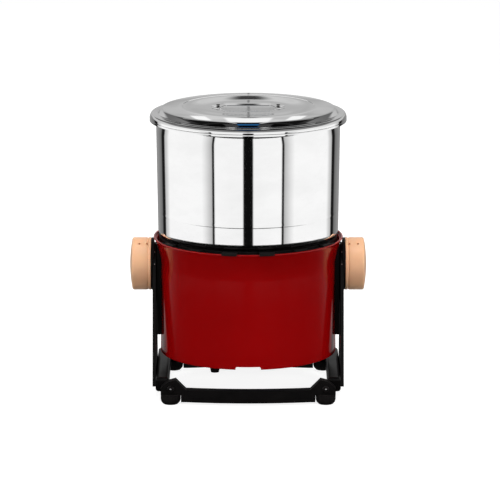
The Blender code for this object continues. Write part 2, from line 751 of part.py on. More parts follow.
def make_shell(tilt):
    shell = turned("red_shell", shell_profile(), "red shell", tilt, FINE_STEPS)
    reach = RIM_RADIUS + OVERRUN
    pivot_bore = rod_cutter("shell pivot bore", TRUNNION_RADIUS + GAP, reach, -reach)
    pivot_bore.rotation_euler = (0.0, pi / 2, 0.0)
    pivot_bore.location = (0.0, 0.0, PIVOT_Z)
    boolean(shell, pivot_bore)
    notch = add_cutter(
        "shell notch",
        block_mesh(
            "shell notch",
            (-NOTCH_HALF_WIDTH, -SHELL_RADIUS - OVERRUN, SHELL_BOTTOM_Z - OVERRUN),
            (NOTCH_HALF_WIDTH, -SHELL_INNER_RADIUS + 2 * OVERRUN, SHELL_BOTTOM_Z + NOTCH_HEIGHT),
        ),
    )
    soften(notch, NOTCH_HEIGHT / 2, segments=2)
    boolean(shell, notch)
    half_width = SWITCH_WIDTH / 2 + GAP
    half_height = SWITCH_HEIGHT / 2 + GAP
    window = add_cutter(
        "shell switch window",
        block_mesh(
            "shell switch window",
            (-half_width, SHELL_INNER_RADIUS - 2 * OVERRUN, SWITCH_Z - half_height),
            (half_width, SHELL_RADIUS + OVERRUN, SWITCH_Z + half_height),
        ),
    )
    boolean(shell, window)
    return shell


def deck_outer_radius(z):
    return shell_radius(z) - SHELL_WALL - GAP


def deck_tabs():
    """Tabs that reach over the rim, none by the pivots, as one tool for a union."""
    inner = deck_outer_radius(DECK_FLOOR_Z) - DECK_UPSTAND / 2
    outer = RIM_RADIUS - RIM_LIP + TAB_OVERHANG
    low = (inner, -TAB_WIDTH / 2, RIM_Z + GAP)
    high = (outer, TAB_WIDTH / 2, RIM_Z + GAP + TAB_THICKNESS)
    shape = bmesh.new()
    for i in range(TAB_COUNT):
        bearing = 2 * pi * (i + 0.5) / TAB_COUNT
        if abs(sin(bearing)) > sin(TAB_FREE_ANGLE):
            add_block(shape, low, high, turned_by=bearing)
    mesh = bpy.data.meshes.new("deck tabs")
    shape.to_mesh(mesh)
    shape.free()
    return add_cutter("deck tabs", mesh)


def make_deck(tilt):
    floor_top = DECK_FLOOR_Z + DECK_THICKNESS
    edge = deck_outer_radius(DECK_FLOOR_Z)
    top = RIM_Z + GAP + TAB_THICKNESS
    profile = [
        (edge, top),
        (edge, DECK_FLOOR_Z),
        (DECK_HOLE_RADIUS, DECK_FLOOR_Z),
        (DECK_HOLE_RADIUS, floor_top),
        (edge - DECK_UPSTAND, floor_top),
        (edge - DECK_UPSTAND, top),
    ]
    deck = turned("top_deck", profile, "black plastic", tilt, FINE_STEPS)
    boolean(deck, deck_tabs(), "UNION")
    return deck


def make_cover(tilt):
    low = SHELL_BOTTOM_Z + COVER_RECESS
    high = low + COVER_THICKNESS
    cover = turned(
        "bottom_cover",
        rod_profile(SHELL_INNER_RADIUS - GAP, high, low),
        "black plastic",
        tilt,
        FINE_STEPS,
        closed=False,
    )
    for i in range(VENT_COUNT):
        slot = add_cutter(
            f"vent {i}",
            block_mesh(
                f"vent {i}",
                (VENT_RING_RADIUS - VENT_LENGTH / 2, -VENT_WIDTH / 2, low - OVERRUN),
                (VENT_RING_RADIUS + VENT_LENGTH / 2, VENT_WIDTH / 2, high + OVERRUN),
            ),
        )
        slot.rotation_euler = (0.0, 0.0, 2 * pi * i / VENT_COUNT)
        boolean(cover, slot)
    bore = rod_cutter("gland bore", GLAND_NECK_RADIUS + GAP, high + OVERRUN, low - OVERRUN)
    bore.location = (GLAND_X, GLAND_Y, 0.0)
    boolean(cover, bore)
    return cover


def make_gland(tilt):
    """Cord gland: a collar under the cover, with its neck up through it."""
    low = SHELL_BOTTOM_Z + COVER_RECESS
    profile = [
        (GLAND_NECK_RADIUS, low + COVER_THICKNESS + GLAND_FLANGE),
        (GLAND_NECK_RADIUS, low - GAP),
        (GLAND_RADIUS, low - GAP),
        (GLAND_RADIUS, low - GAP - GLAND_FLANGE),
        (GLAND_NECK_RADIUS, SHELL_BOTTOM_Z - GLAND_DROP),
        (GLAND_BORE_RADIUS, SHELL_BOTTOM_Z - GLAND_DROP),
        (GLAND_BORE_RADIUS, low + COVER_THICKNESS + GLAND_FLANGE),
    ]
    gland = turned("cord_gland", profile, "rubber", tilt, SMALL_STEPS)
    gland.location = (GLAND_X, GLAND_Y, 0.0)
    return gland


def make_switch(tilt):
    """Rear rocker switch: a frame in the shell's window and the rocker in it."""
    face_y = SHELL_RADIUS + SWITCH_BEZEL_PROUD
    half_width, half_height = SWITCH_WIDTH / 2, SWITCH_HEIGHT / 2
    frame = add_part(
        "switch_frame",
        block_mesh(
            "switch_frame",
            (-half_width, face_y - SWITCH_DEPTH, SWITCH_Z - half_height),
            (half_width, face_y, SWITCH_Z + half_height),
        ),
        "black plastic",
        tilt,
    )
    soften(frame, GAP)
    pocket = add_cutter(
        "switch pocket",
        block_mesh(
            "switch pocket",
            (
                -half_width + SWITCH_BEZEL,
                face_y - SWITCH_DEPTH + SWITCH_BEZEL,
                SWITCH_Z - half_height + SWITCH_BEZEL,
            ),
            (half_width - SWITCH_BEZEL, face_y + OVERRUN, SWITCH_Z + half_height - SWITCH_BEZEL),
        ),
    )
    boolean(frame, pocket)
    pin = joint_empty("rocker_axis", (0.0, face_y - SWITCH_DEPTH / 2, SWITCH_Z), tilt)
    make_rocker(pin, face_y)


def make_rocker(pin, face_y):
    """Rocker with two pressing faces, set over to its off side about its own pin."""
    half_height = SWITCH_HEIGHT / 2 - SWITCH_BEZEL - ROCKER_GAP
    half_width = SWITCH_WIDTH / 2 - SWITCH_BEZEL - ROCKER_GAP
    pin_y = face_y - SWITCH_DEPTH / 2
    nose = SWITCH_DEPTH / 2 + ROCKER_PROUD
    outline = [
        (-half_height + ROCKER_PROUD, -ROCKER_BACK),
        (half_height - ROCKER_PROUD, -ROCKER_BACK),
        (half_height - GAP, nose - ROCKER_PROUD),
        (half_height - ROCKER_PROUD / 2, nose),
        (0.0, nose - ROCKER_PROUD / 2),
        (-half_height + ROCKER_PROUD / 2, nose),
        (-half_height + GAP, nose - ROCKER_PROUD),
    ]
    off = [
        (x * cos(ROCKER_TILT) - y * sin(ROCKER_TILT), x * sin(ROCKER_TILT) + y * cos(ROCKER_TILT))
        for x, y in outline
    ]
    body = outline_mesh("switch_rocker", [off], 2 * half_width)
    rocker = add_part("switch_rocker", body, "switch red", pin)
    rocker.rotation_euler = (0.0, -pi / 2, 0.0)
    rocker.location = (0.0, pin_y, SWITCH_Z)


# Pivots and knobs


def shell_clearance_cutter():
    """The shell's own outer form with a working gap, used to fit the brackets to it."""
    profile = [(0.0, RIM_Z), *[(shell_radius(z) + GAP, z) for z in flare_heights()]]
    profile += [(SHELL_RADIUS + GAP, SHELL_BOTTOM_Z), (0.0, SHELL_BOTTOM_Z)]
    return turned_cutter("shell clearance", profile, FINE_STEPS)


def make_bracket(name, side, tilt, clearance):
    near, far = sorted((side * (SHELL_RADIUS - BRACKET_INSET), side * (ARM_INNER_X - GAP)))
    bracket = add_part(
        name,
        block_mesh(
            name,
            (near, -BRACKET_HALF_DEPTH, BRACKET_BOTTOM_Z),
            (far, BRACKET_HALF_DEPTH, BRACKET_TOP_Z),
        ),
        "black plastic",
        tilt,
    )
    soften(bracket, BRACKET_EDGE)
    boolean(bracket, clearance)
    bore_start, bore_end = RIM_RADIUS + OVERRUN, SHELL_INNER_RADIUS - OVERRUN
    bore = rod_cutter(f"{name} bore", TRUNNION_RADIUS + GAP, bore_start, bore_end)
    bore.rotation_euler = (0.0, side * pi / 2, 0.0)
    bore.location = (0.0, 0.0, PIVOT_Z)
    boolean(bracket, bore)
    return bracket


def make_trunnion(name, side, tilt):
    """Pivot bolt: head inside the shell, shank out through bracket, arm and knob."""
    seat = sqrt(SHELL_INNER_RADIUS**2 - TRUNNION_HEAD_RADIUS**2) - 2 * GAP
    tip = ARM_OUTER_X + TRUNNION_REACH
    profile = [
        (0.0, tip),
        (TRUNNION_RADIUS, tip),
        (TRUNNION_RADIUS, seat),
        (TRUNNION_HEAD_RADIUS, seat),
        (TRUNNION_HEAD_RADIUS, seat - TRUNNION_HEAD_HEIGHT),
        (0.0, seat - TRUNNION_HEAD_HEIGHT),
    ]
    bolt = turned(name, profile, "brushed steel", tilt, SMALL_STEPS, closed=False)
    bolt.rotation_euler = (0.0, side * pi / 2, 0.0)
    bolt.location = (0.0, 0.0, PIVOT_Z)
    return bolt


def make_knob(name, side, tilt):
    """Clamp knob: domed face, turned groove by the inner end, blind bore."""
    inner = ARM_OUTER_X + GAP
    outer = inner + KNOB_LENGTH
    rim = KNOB_RADIUS - KNOB_EDGE
    face = outer - KNOB_DOME
    profile = []
    for i in range(KNOB_DOME_STATIONS):
        share = i / KNOB_DOME_STATIONS
        profile.append((rim * share, outer - KNOB_DOME * share**2))
    profile += arc(rim, face - KNOB_EDGE, KNOB_EDGE, 90, 0)
    groove = inner + KNOB_COLLAR
    profile += [
        (KNOB_RADIUS, groove + KNOB_GROOVE),
        (KNOB_RADIUS - KNOB_GROOVE, groove),
        (KNOB_RADIUS, groove - KNOB_GROOVE),
        (KNOB_RADIUS, inner + KNOB_GROOVE),
        (KNOB_RADIUS - KNOB_GROOVE, inner),
        (TRUNNION_RADIUS + GAP, inner),
        (TRUNNION_RADIUS + GAP, ARM_OUTER_X + TRUNNION_REACH + GAP),
        (0.0, ARM_OUTER_X + TRUNNION_REACH + GAP),
    ]
    axis = joint_empty(f"{name}_axis", (0.0, 0.0, PIVOT_Z), tilt)
    knob = turned(name, profile, "cream plastic", axis, ROUND_STEPS, closed=False)
    knob.rotation_euler = (0.0, side * pi / 2, 0.0)
    knob.location = (0.0, 0.0, PIVOT_Z)
    return knob


def make_pivots(tilt):
    clearance = shell_clearance_cutter()
    for side, hand in ((-1, "left"), (1, "right")):
        make_bracket(f"hinge_bracket_{hand}", side, tilt, clearance)
        make_trunnion(f"trunnion_{hand}", side, tilt)
        make_knob(f"clamp_knob_{hand}", side, tilt)


# Drive


def make_chassis(tilt):
    """Plate across the housing that carries the motor and the centre bearing."""
    chassis = turned(
        "chassis_plate",
        tube_profile(SHELL_INNER_RADIUS - GAP, SPINDLE_RADIUS + GAP, CHASSIS_TOP_Z, CHASSIS_BOTTOM_Z),
        "cast metal",
        tilt,
        FINE_STEPS,
    )
    bore_top, bore_bottom = CHASSIS_TOP_Z + OVERRUN, CHASSIS_BOTTOM_Z - OVERRUN
    bore = rod_cutter("motor shaft bore", SHAFT_RADIUS + RUN_GAP, bore_top, bore_bottom)
    bore.location = (0.0, MOTOR_OFFSET_Y, 0.0)
    boolean(chassis, bore)
    for side in (-1, 1):
        relief = rod_cutter(
            f"trunnion relief {side}",
            TRUNNION_HEAD_RADIUS + RUN_GAP,
            SHELL_RADIUS,
            SHELL_INNER_RADIUS - 2 * TRUNNION_HEAD_HEIGHT,
        )
        relief.rotation_euler = (0.0, side * pi / 2, 0.0)
        relief.location = (0.0, 0.0, PIVOT_Z)
        boolean(chassis, relief)
    return chassis


def make_bearing(tilt):
    profile = [
        (BEARING_RADIUS, CHASSIS_TOP_Z + GAP + BEARING_HEIGHT / 2),
        (BEARING_RADIUS, CHASSIS_TOP_Z + GAP),
        (SPINDLE_RADIUS + GAP, CHASSIS_TOP_Z + GAP),
        (SPINDLE_RADIUS + GAP, BEARING_TOP_Z),
        (PILLAR_RADIUS + BEARING_LIP, BEARING_TOP_Z),
        (PILLAR_RADIUS + BEARING_LIP, CHASSIS_TOP_Z + GAP + BEARING_HEIGHT / 2),
    ]
    return turned("centre_bearing", profile, "cast metal", tilt, SMALL_STEPS)


def make_spindle(tilt):
    """Fixed centre spindle: nut under the chassis, threaded top above the holder."""
    nut_top = CHASSIS_BOTTOM_Z - GAP
    top = HOLDER_TOP_Z + LOCK_THREAD
    profile = [
        (0.0, top),
        (SPINDLE_RADIUS, top),
        (SPINDLE_RADIUS, nut_top),
        (NUT_RADIUS, nut_top),
        (NUT_RADIUS, nut_top - NUT_HEIGHT),
        (0.0, nut_top - NUT_HEIGHT),
    ]
    return turned("centre_spindle", profile, "brushed steel", tilt, SMALL_STEPS, closed=False)


def pulley_profile(radius, bore):
    middle = (PULLEY_TOP_Z + PULLEY_BOTTOM_Z) / 2
    half_groove = BELT_HEIGHT / 2 + GAP
    return [
        (radius, PULLEY_TOP_Z),
        (radius, middle + half_groove + GROOVE_SLOPE),
        (radius - GROOVE_DEPTH, middle + half_groove),
        (radius - GROOVE_DEPTH, middle - half_groove),
        (radius, middle - half_groove - GROOVE_SLOPE),
        (radius, PULLEY_BOTTOM_Z),
        (bore, PULLEY_BOTTOM_Z),
        (bore, PULLEY_TOP_Z),
    ]


def make_motor(tilt):
    top = CHASSIS_BOTTOM_Z - GAP
    bottom = top - MOTOR_HEIGHT
    profile = [
        (MOTOR_RADIUS, top),
        (MOTOR_RADIUS, bottom + MOTOR_CROWN),
        (MOTOR_RADIUS - MOTOR_CROWN, bottom),
        (0.0, bottom),
        (0.0, bottom + MOTOR_CROWN),
        (SHAFT_RADIUS + GAP, bottom + MOTOR_CROWN),
        (SHAFT_RADIUS + GAP, top),
    ]
    motor = turned("motor_body", profile, "cast metal", tilt)
    motor.location = (0.0, MOTOR_OFFSET_Y, 0.0)
    axis = joint_empty("motor_axis", (0.0, MOTOR_OFFSET_Y, PULLEY_BOTTOM_Z), tilt)
    shaft = turned(
        "motor_shaft",
        rod_profile(SHAFT_RADIUS, PULLEY_TOP_Z + GAP, bottom + MOTOR_CROWN + GAP),
        "brushed steel",
        axis,
        SMALL_STEPS,
        closed=False,
    )
    shaft.location = (0.0, MOTOR_OFFSET_Y, 0.0)
    pulley = turned(
        "motor_pulley",
        pulley_profile(MOTOR_PULLEY_RADIUS, SHAFT_RADIUS + GAP),
        "cast metal",
        axis,
        SMALL_STEPS,
    )
    pulley.location = (0.0, MOTOR_OFFSET_Y, 0.0)


def belt_outline(big, small):
    """Outline round two circles on the Y axis, joined by their common tangents."""
    lean = atan2(sqrt(MOTOR_OFFSET_Y**2 - (big - small) ** 2), big - small)
    points = []
    for i in range(BELT_ARC_STEPS + 1):
        angle = pi / 2 + lean + (2 * pi - 2 * lean) * i / BELT_ARC_STEPS
        points.append((big * cos(angle), big * sin(angle)))
    for i in range(BELT_ARC_STEPS + 1):
        angle = pi / 2 - lean + 2 * lean * i / BELT_ARC_STEPS
        points.append((small * cos(angle), MOTOR_OFFSET_Y + small * sin(angle)))
    return points


def make_belt(tilt):
    big = PULLEY_RADIUS - GROOVE_DEPTH + 2 * GAP
    small = MOTOR_PULLEY_RADIUS - GROOVE_DEPTH + 2 * GAP
    outlines = [belt_outline(big + BELT_THICKNESS, small + BELT_THICKNESS), belt_outline(big, small)]
    belt = curve_plate("drive_belt", outlines, BELT_HEIGHT, "rubber", tilt)
    belt.location = (0.0, 0.0, (PULLEY_TOP_Z + PULLEY_BOTTOM_Z) / 2)
    return belt


# Drum and stones


def wall_radius(z):
    share = (z - DRUM_BOTTOM_Z) / (DRUM_TOP_Z - DRUM_BOTTOM_Z)
    return DRUM_BOTTOM_RADIUS + (DRUM_TOP_RADIUS - DRUM_BOTTOM_RADIUS) * share


def drum_profile():
    """Outer face of the bowl: rolled rim, slight taper, bead, rounded lower corner."""
    lip_z = DRUM_TOP_Z - DRUM_RIM_LIP
    profile = arc(wall_radius(lip_z), lip_z, DRUM_RIM_LIP, RIM_ROLL_START, RIM_ROLL_END)
    bead_low, bead_high = BEAD_Z - BEAD_HALF_HEIGHT, BEAD_Z + BEAD_HALF_HEIGHT
    profile += [
        (wall_radius(bead_high), bead_high),
        (wall_radius(BEAD_Z) + BEAD_PROUD, BEAD_Z),
        (wall_radius(bead_low), bead_low),
    ]
    corner_z = DRUM_BOTTOM_Z + DRUM_CORNER
    profile += arc(wall_radius(corner_z) - DRUM_CORNER, corner_z, DRUM_CORNER, 0, -90)
    profile.append((PILLAR_RADIUS + GAP, DRUM_BOTTOM_Z))
    return profile


def make_drum(spin):
    drum = turned("drum", drum_profile(), "mirror steel", spin, FINE_STEPS, closed=False)
    thicken(drum, DRUM_WALL)
    return drum


def make_base_stone(spin):
    profile = [
        (STONE_RADIUS - STONE_EDGE, STONE_TOP_Z),
        (STONE_RADIUS, STONE_TOP_Z - STONE_EDGE),
        (STONE_RADIUS, STONE_BOTTOM_Z),
        (STONE_BORE_RADIUS, STONE_BOTTOM_Z),
        (STONE_BORE_RADIUS, STONE_TOP_Z),
    ]
    return turned("base_stone", profile, "granite", spin, FINE_STEPS)


def make_pillar(spin):
    """Hollow drive shaft: it carries the drum on a flange and runs on the spindle."""
    flange_top = DRUM_BOTTOM_Z - GAP
    bore = SPINDLE_RADIUS + RUN_GAP
    profile = [
        (PILLAR_RADIUS, PILLAR_TOP_Z),
        (PILLAR_RADIUS, flange_top),
        (PILLAR_FLANGE_RADIUS, flange_top),
        (PILLAR_FLANGE_RADIUS, flange_top - PILLAR_FLANGE),
        (PILLAR_RADIUS, flange_top - PILLAR_FLANGE),
        (PILLAR_RADIUS, BEARING_TOP_Z + GAP),
        (bore, BEARING_TOP_Z + GAP),
        (bore, PILLAR_TOP_Z),
    ]
    turned("drum_pillar", profile, "brushed steel", spin, SMALL_STEPS)
    turned("drum_pulley", pulley_profile(PULLEY_RADIUS, PILLAR_RADIUS + GAP), "cast metal", spin)


def make_roller(name, side, tilt):
    """Conical stone whose tip points at the drum's centre, so that it rolls flat."""
    small = ROLLER_INNER * tan(CONE_HALF_ANGLE)
    profile = [
        (ROLLER_LARGE_RADIUS - ROLLER_EDGE, ROLLER_OUTER),
        (ROLLER_LARGE_RADIUS, ROLLER_OUTER - ROLLER_EDGE),
        (small, ROLLER_INNER),
        (ROLLER_BORE_RADIUS, ROLLER_INNER),
        (ROLLER_BORE_RADIUS, ROLLER_OUTER),
    ]
    tip = (0.0, 0.0, CONE_APEX_Z)
    lean = (0.0, side * (pi / 2 - CONE_HALF_ANGLE), 0.0)
    axis = joint_empty(f"{name}_axis", tip, tilt)
    stone = turned(name, profile, "granite", axis, ROUND_STEPS)
    cap_low = ROLLER_OUTER + RUN_GAP
    axle = turned(
        name.replace("roller_stone", "roller_axle"),
        rod_profile(AXLE_RADIUS, cap_low + AXLE_END, HOLDER_RADIUS / cos(CONE_HALF_ANGLE) - AXLE_SEAT),
        "brushed steel",
        tilt,
        SMALL_STEPS,
        closed=False,
    )
    cap = turned(
        name.replace("roller_stone", "roller_cap"),
        [
            (0.0, cap_low + AXLE_END + CAP_CROWN),
            (CAP_CROWN_RADIUS, cap_low + AXLE_END + CAP_CROWN),
            (CAP_RADIUS, cap_low + AXLE_END),
            (CAP_RADIUS, cap_low),
            (AXLE_RADIUS + GAP, cap_low),
            (AXLE_RADIUS + GAP, cap_low + AXLE_END + GAP),
            (0.0, cap_low + AXLE_END + GAP),
        ],
        "white plastic",
        tilt,
        SMALL_STEPS,
        closed=False,
    )
    for piece in (stone, axle, cap):
        piece.location = tip
        piece.rotation_euler = lean
    return stone


def make_holder(tilt):
    """Sleeve over the pillar, with a seat for each roller axle and a cap on the spindle."""
    bore = PILLAR_RADIUS + RUN_GAP
    cap_low = HOLDER_TOP_Z - HOLDER_CAP
    head_low = HOLDER_TOP_Z - HOLDER_HEAD_HEIGHT
    bottom = CONE_APEX_Z + RUN_GAP
    profile = [
        (HOLDER_HEAD_RADIUS, HOLDER_TOP_Z),
        (HOLDER_HEAD_RADIUS, head_low),
        (HOLDER_RADIUS, head_low - (HOLDER_HEAD_RADIUS - HOLDER_RADIUS)),
        (HOLDER_RADIUS, bottom),
        (bore, bottom),
        (bore, cap_low),
        (SPINDLE_RADIUS + GAP, cap_low),
        (SPINDLE_RADIUS + GAP, HOLDER_TOP_Z),
    ]
    holder = turned("roller_holder", profile, "white plastic", tilt, SMALL_STEPS)
    for side in (-1, 1):
        seat = rod_cutter(
            f"axle seat {side}",
            AXLE_RADIUS + GAP,
            2 * HOLDER_RADIUS,
            HOLDER_RADIUS / cos(CONE_HALF_ANGLE) - AXLE_SEAT - GAP,
        )
        seat.location = (0.0, 0.0, CONE_APEX_Z)
        seat.rotation_euler = (0.0, side * (pi / 2 - CONE_HALF_ANGLE), 0.0)
        boolean(holder, seat)
    return holder


def make_scraper(tilt):
    """Wiper that hangs from the holder and runs down the drum wall at the front."""
    reach = wall_radius(STONE_TOP_Z) - DRUM_WALL - SCRAPER_GAP
    top = HOLDER_TOP_Z - GAP
    low = STONE_TOP_Z + SCRAPER_GAP
    near = HOLDER_HEAD_RADIUS + GAP
    outline = [
        (near, top - SCRAPER_ARM_HEIGHT),
        (reach - SCRAPER_BLADE_WIDTH, top - SCRAPER_ARM_HEIGHT),
        (reach - SCRAPER_BLADE_WIDTH, low),
        (reach, low),
        (reach, top - SCRAPER_ARM_HEIGHT / 2),
        (reach - SCRAPER_ARM_HEIGHT / 2, top),
        (near, top),
    ]
    scraper = add_part(
        "drum_scraper",
        outline_mesh("drum_scraper", [outline], SCRAPER_THICKNESS),
        "white plastic",
        tilt,
    )
    scraper.rotation_euler = (pi / 2, 0.0, -pi / 2)
    return scraper


def make_lock_knob(tilt):
    """Lobed hand nut on the threaded top of the spindle."""
    low = HOLDER_TOP_Z + GAP
    outline = []
    for i in range(LOCK_STEPS):
        angle = 2 * pi * i / LOCK_STEPS
        radius = LOCK_RADIUS * (1.0 - LOCK_LOBE_DEPTH_SHARE * (1.0 - cos(LOCK_LOBES * angle)) / 2)
        outline.append((radius * cos(angle), radius * sin(angle)))
    axis = joint_empty("lock_knob_axis", (0.0, 0.0, low), tilt)
    knob = add_part("lock_knob", outline_mesh("lock_knob", [outline], LOCK_HEIGHT), "black plastic", axis)
    knob.location = (0.0, 0.0, low + LOCK_HEIGHT / 2)
    bore_top = HOLDER_TOP_Z + LOCK_THREAD + GAP
    boolean(knob, rod_cutter("lock knob bore", SPINDLE_RADIUS + GAP, bore_top, low - OVERRUN))
    return knob


# Lid


def lid_profile():
    """Outer face of the pressed lid: dish, plateau, brim and turned-down flange."""
    riser = LID_PLATEAU_RADIUS
    profile = [(0.0, LID_DISH_Z), (LID_DISH_RADIUS - LID_DISH_SLOPE, LID_DISH_Z)]
    profile.append((LID_DISH_RADIUS, LID_PLATEAU_Z))
    profile += arc(riser - LID_PLATEAU_EDGE, LID_PLATEAU_Z - LID_PLATEAU_EDGE, LID_PLATEAU_EDGE, 90, 0, 2)
    profile.append((riser, LID_BRIM_Z))
    profile += arc(LID_BRIM_RADIUS - LID_BRIM_EDGE, LID_BRIM_Z - LID_BRIM_EDGE, LID_BRIM_EDGE, 90, 0, 2)
    profile.append((LID_BRIM_RADIUS, LID_FLANGE_Z))
    return profile


def make_lid(lift):
    lid = turned("lid", lid_profile(), "mirror steel", lift, FINE_STEPS, closed=False)
    thicken(lid, LID_SHEET)
    make_lid_handle(lift)


def make_lid_handle(lift):
    """Low strap across the dish, bent down to a pointed foot at each end."""
    low = LID_DISH_Z + GAP
    crown = low + STRAP_RISE
    half = STRAP_WIDTH / 2
    foot_in = STRAP_HALF_LENGTH - STRAP_FOOT
    ramp_in = foot_in - STRAP_RAMP
    right = [
        (ramp_in, -half, half, crown - STRAP_THICKNESS, crown),
        (foot_in, -half, half, low, low + STRAP_THICKNESS),
        (foot_in + STRAP_TOE, -STRAP_TOE_HALF_WIDTH, STRAP_TOE_HALF_WIDTH, low, low + STRAP_THICKNESS),
        (STRAP_HALF_LENGTH, -STRAP_TIP_HALF_WIDTH, STRAP_TIP_HALF_WIDTH, low, low + STRAP_THICKNESS),
    ]
    left = [(-x, *rest) for x, *rest in reversed(right)]
    handle = add_part("lid_handle", loft_mesh("lid_handle", left + right), "mirror steel", lift)
    soften(handle, STRAP_EDGE)
    return handle


# Assembly


def make_housing():
    tilt = joint_empty("tilt_axis", (0.0, 0.0, PIVOT_Z))
    make_shell(tilt)
    make_deck(tilt)
    make_cover(tilt)
    make_gland(tilt)
    make_switch(tilt)
    make_pivots(tilt)
    make_chassis(tilt)
    make_bearing(tilt)
    make_spindle(tilt)
    make_motor(tilt)
    make_belt(tilt)
    return tilt


def make_grinding_set(tilt):
    spin = joint_empty("drum_axis", (0.0, 0.0, DRUM_BOTTOM_Z), tilt)
    make_drum(spin)
    make_base_stone(spin)
    make_pillar(spin)
    make_holder(tilt)
    make_scraper(tilt)
    make_lock_knob(tilt)
    for side, hand in ((-1, "left"), (1, "right")):
        make_roller(f"roller_stone_{hand}", side, tilt)
    lift = joint_empty("lid_axis", (0.0, 0.0, LID_BRIM_Z), spin)
    make_lid(lift)


make_stand()
make_grinding_set(make_housing())
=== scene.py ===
# Tilting wet grinder: the detailed look of the CAD part, seen as in its photograph

import json
from math import cos, pi, radians, sin

import bmesh
import bpy
from mathutils import Matrix, Vector


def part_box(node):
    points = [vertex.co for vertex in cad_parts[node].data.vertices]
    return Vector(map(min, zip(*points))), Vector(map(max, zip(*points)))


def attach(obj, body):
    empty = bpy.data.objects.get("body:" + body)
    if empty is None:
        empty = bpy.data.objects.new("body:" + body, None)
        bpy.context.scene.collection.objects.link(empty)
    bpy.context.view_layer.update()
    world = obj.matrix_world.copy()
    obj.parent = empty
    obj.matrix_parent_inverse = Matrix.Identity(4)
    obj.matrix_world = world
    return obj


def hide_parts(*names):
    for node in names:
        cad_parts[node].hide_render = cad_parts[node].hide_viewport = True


# Photograph's camera: its angle and distance, a pixel's size at the pivot, and the pivot's pixel
CAM_ELEVATION = radians(12.15)
CAM_DISTANCE = 5.04
CAM_PIXEL = 0.001371
CAM_CENTRE_X = 248.2
CAM_CENTRE_Y = 263.3
IMAGE = 500
SENSOR = 36.0
CAM_NEAR = 0.1
CAM_FAR = 100.0

# Steps round a turned piece
FINE_STEPS = 180
LID_STEPS = 360
KNOB_STEPS = 128
DISC_STEPS = 96
BORE_STEPS = 32
RIVET_STEPS = 24
HOLE_STEPS = 16

# Drum: radii and wall, the rings of its profile between lip and corner, and the pressed bead
DRUM_LOW_R = 0.123
DRUM_TOP_R = 0.1255
DRUM_WALL = 0.0015
DRUM_LIP = 0.0026
DRUM_CORNER = 0.0048
DRUM_HOLE_R = 0.0114
DRUM_FLOOR_RINGS = (0.09, 0.04)
DRUM_WALL_RINGS = (0.32, 0.28)
END_RING = 0.02
LIP_MARGIN = 0.004
INNER_MARGIN = 0.002
CORNER_MARGIN = 0.004
BEAD_RISE = 0.032
BEAD_HALF = 0.0024
BEAD_MARGIN = 0.0042
BEAD_FOOT = 0.008
BEAD_PROUD = 0.00006
BEAD_STEPS = 8

# Lid, from the middle out; each sweep is (length, first slope, last slope) in metres and degrees
LID_SHEET = 0.0012
PLATEAU_RISE = 0.0018
DISH_DROP = 0.0002
DISH_FLOOR_RINGS = (0.0, 0.03, 0.0525)
DISH_WALL = 0.0362
DISH_STEPS = 20
CREASE_WIDTH = 0.0018
CREASE_RISE = 0.0003
CREASE_STEPS = 10
CROWN = ((0.0050, 0.5, 4.4), (0.0205, 4.4, 6.0), (0.0046, 6.0, 50.0))
RISER_SLOPES = (50.0, 53.0, 56.0, 59.0)
FILLET_R = 0.0022
BRIM_R = 0.1285
BRIM_DROP = 0.007
BRIM_EDGE_R = 0.003
BRIM_EDGE_CENTRE = 0.1299
FLANGE_R = 0.01075
FLANGE_CENTRE = 0.12319
FLANGE_CENTRE_DROP = 0.0069
FLANGE_FOOT = (
    (0.1339, -0.0074), (0.13375, -0.0077), (0.13375, -0.0079), (0.1339, -0.0082), (0.1339, -0.01045),
)
LINER_DEPTH = 0.0125
LINER_FOOT = ((0.1320, -0.0140), (0.1316, -0.0162))

# Strap handle: each station is (distance from the middle, share of the rise, half width)
STRAP_THICK = 0.0022
STRAP_HALF = 0.012
STRAP_STATIONS = (
    (0.0000, 1.00, STRAP_HALF), (0.0140, 0.995, STRAP_HALF), (0.0240, 0.975, STRAP_HALF),
    (0.0295, 0.93, STRAP_HALF), (0.0325, 0.80, STRAP_HALF), (0.0348, 0.50, STRAP_HALF),
    (0.0368, 0.18, STRAP_HALF), (0.0385, 0.03, 0.0132), (0.0395, 0.0, 0.0150), (0.0425, 0.0, 0.0118),
    (0.0460, 0.0, 0.0078), (0.0485, 0.0, 0.0046), (0.0498, 0.0, 0.0022),
)
STRAP_ACROSS = 8
STRAP_SHOULDER = 0.0009
STRAP_EDGE = 0.0007
STRAP_TOP_SHARE = 0.6
STRAP_LEAN = 0.0003
STRAP_CROWN = 0.0002
STRAP_BEVEL = 0.0001
STRAP_CLEARANCE = 0.0001
RIVET_X = 0.0408
RIVET_Y = 0.0062
RIVET_R = 0.0026
RIVET_HEIGHT = 0.0007
HEAD_STEPS = 8

# Bright screw end in each frame bolt, which stands in for the bolt's highlight: painted highlight
BOLT_END_R = 0.0013
BOLT_END_HEIGHT = 0.0005

# Housing shell
SHELL_R = 0.120
SHELL_WALL = 0.003
SHELL_RINGS = (0.15, 0.11, 0.075)
SHELL_FOOT_R = 0.0012
SHELL_FOOT_PROUD = 0.0003
SHELL_FOOT_HEIGHT = 0.004
RIM_R = 0.1295
RIM_LIP = 0.0014
RIM_INNER_DEPTH = 0.004
FLARE_HEIGHT = 0.040
FLARE_STEPS = 16
INNER_FLARE_STEPS = 13
TRUNNION_R = 0.0083
BORE_REACH = 0.15
NOTCH_HALF = 0.017
NOTCH_HEIGHT = 0.004
NOTCH_Y = (-0.130, -0.109)
NOTCH_CORNER = 0.002
SWITCH_HALF_WIDTH = 0.0173
SWITCH_HALF_HEIGHT = 0.0113
SWITCH_Y = (0.105, 0.130)
CUT_OVERRUN = 0.01

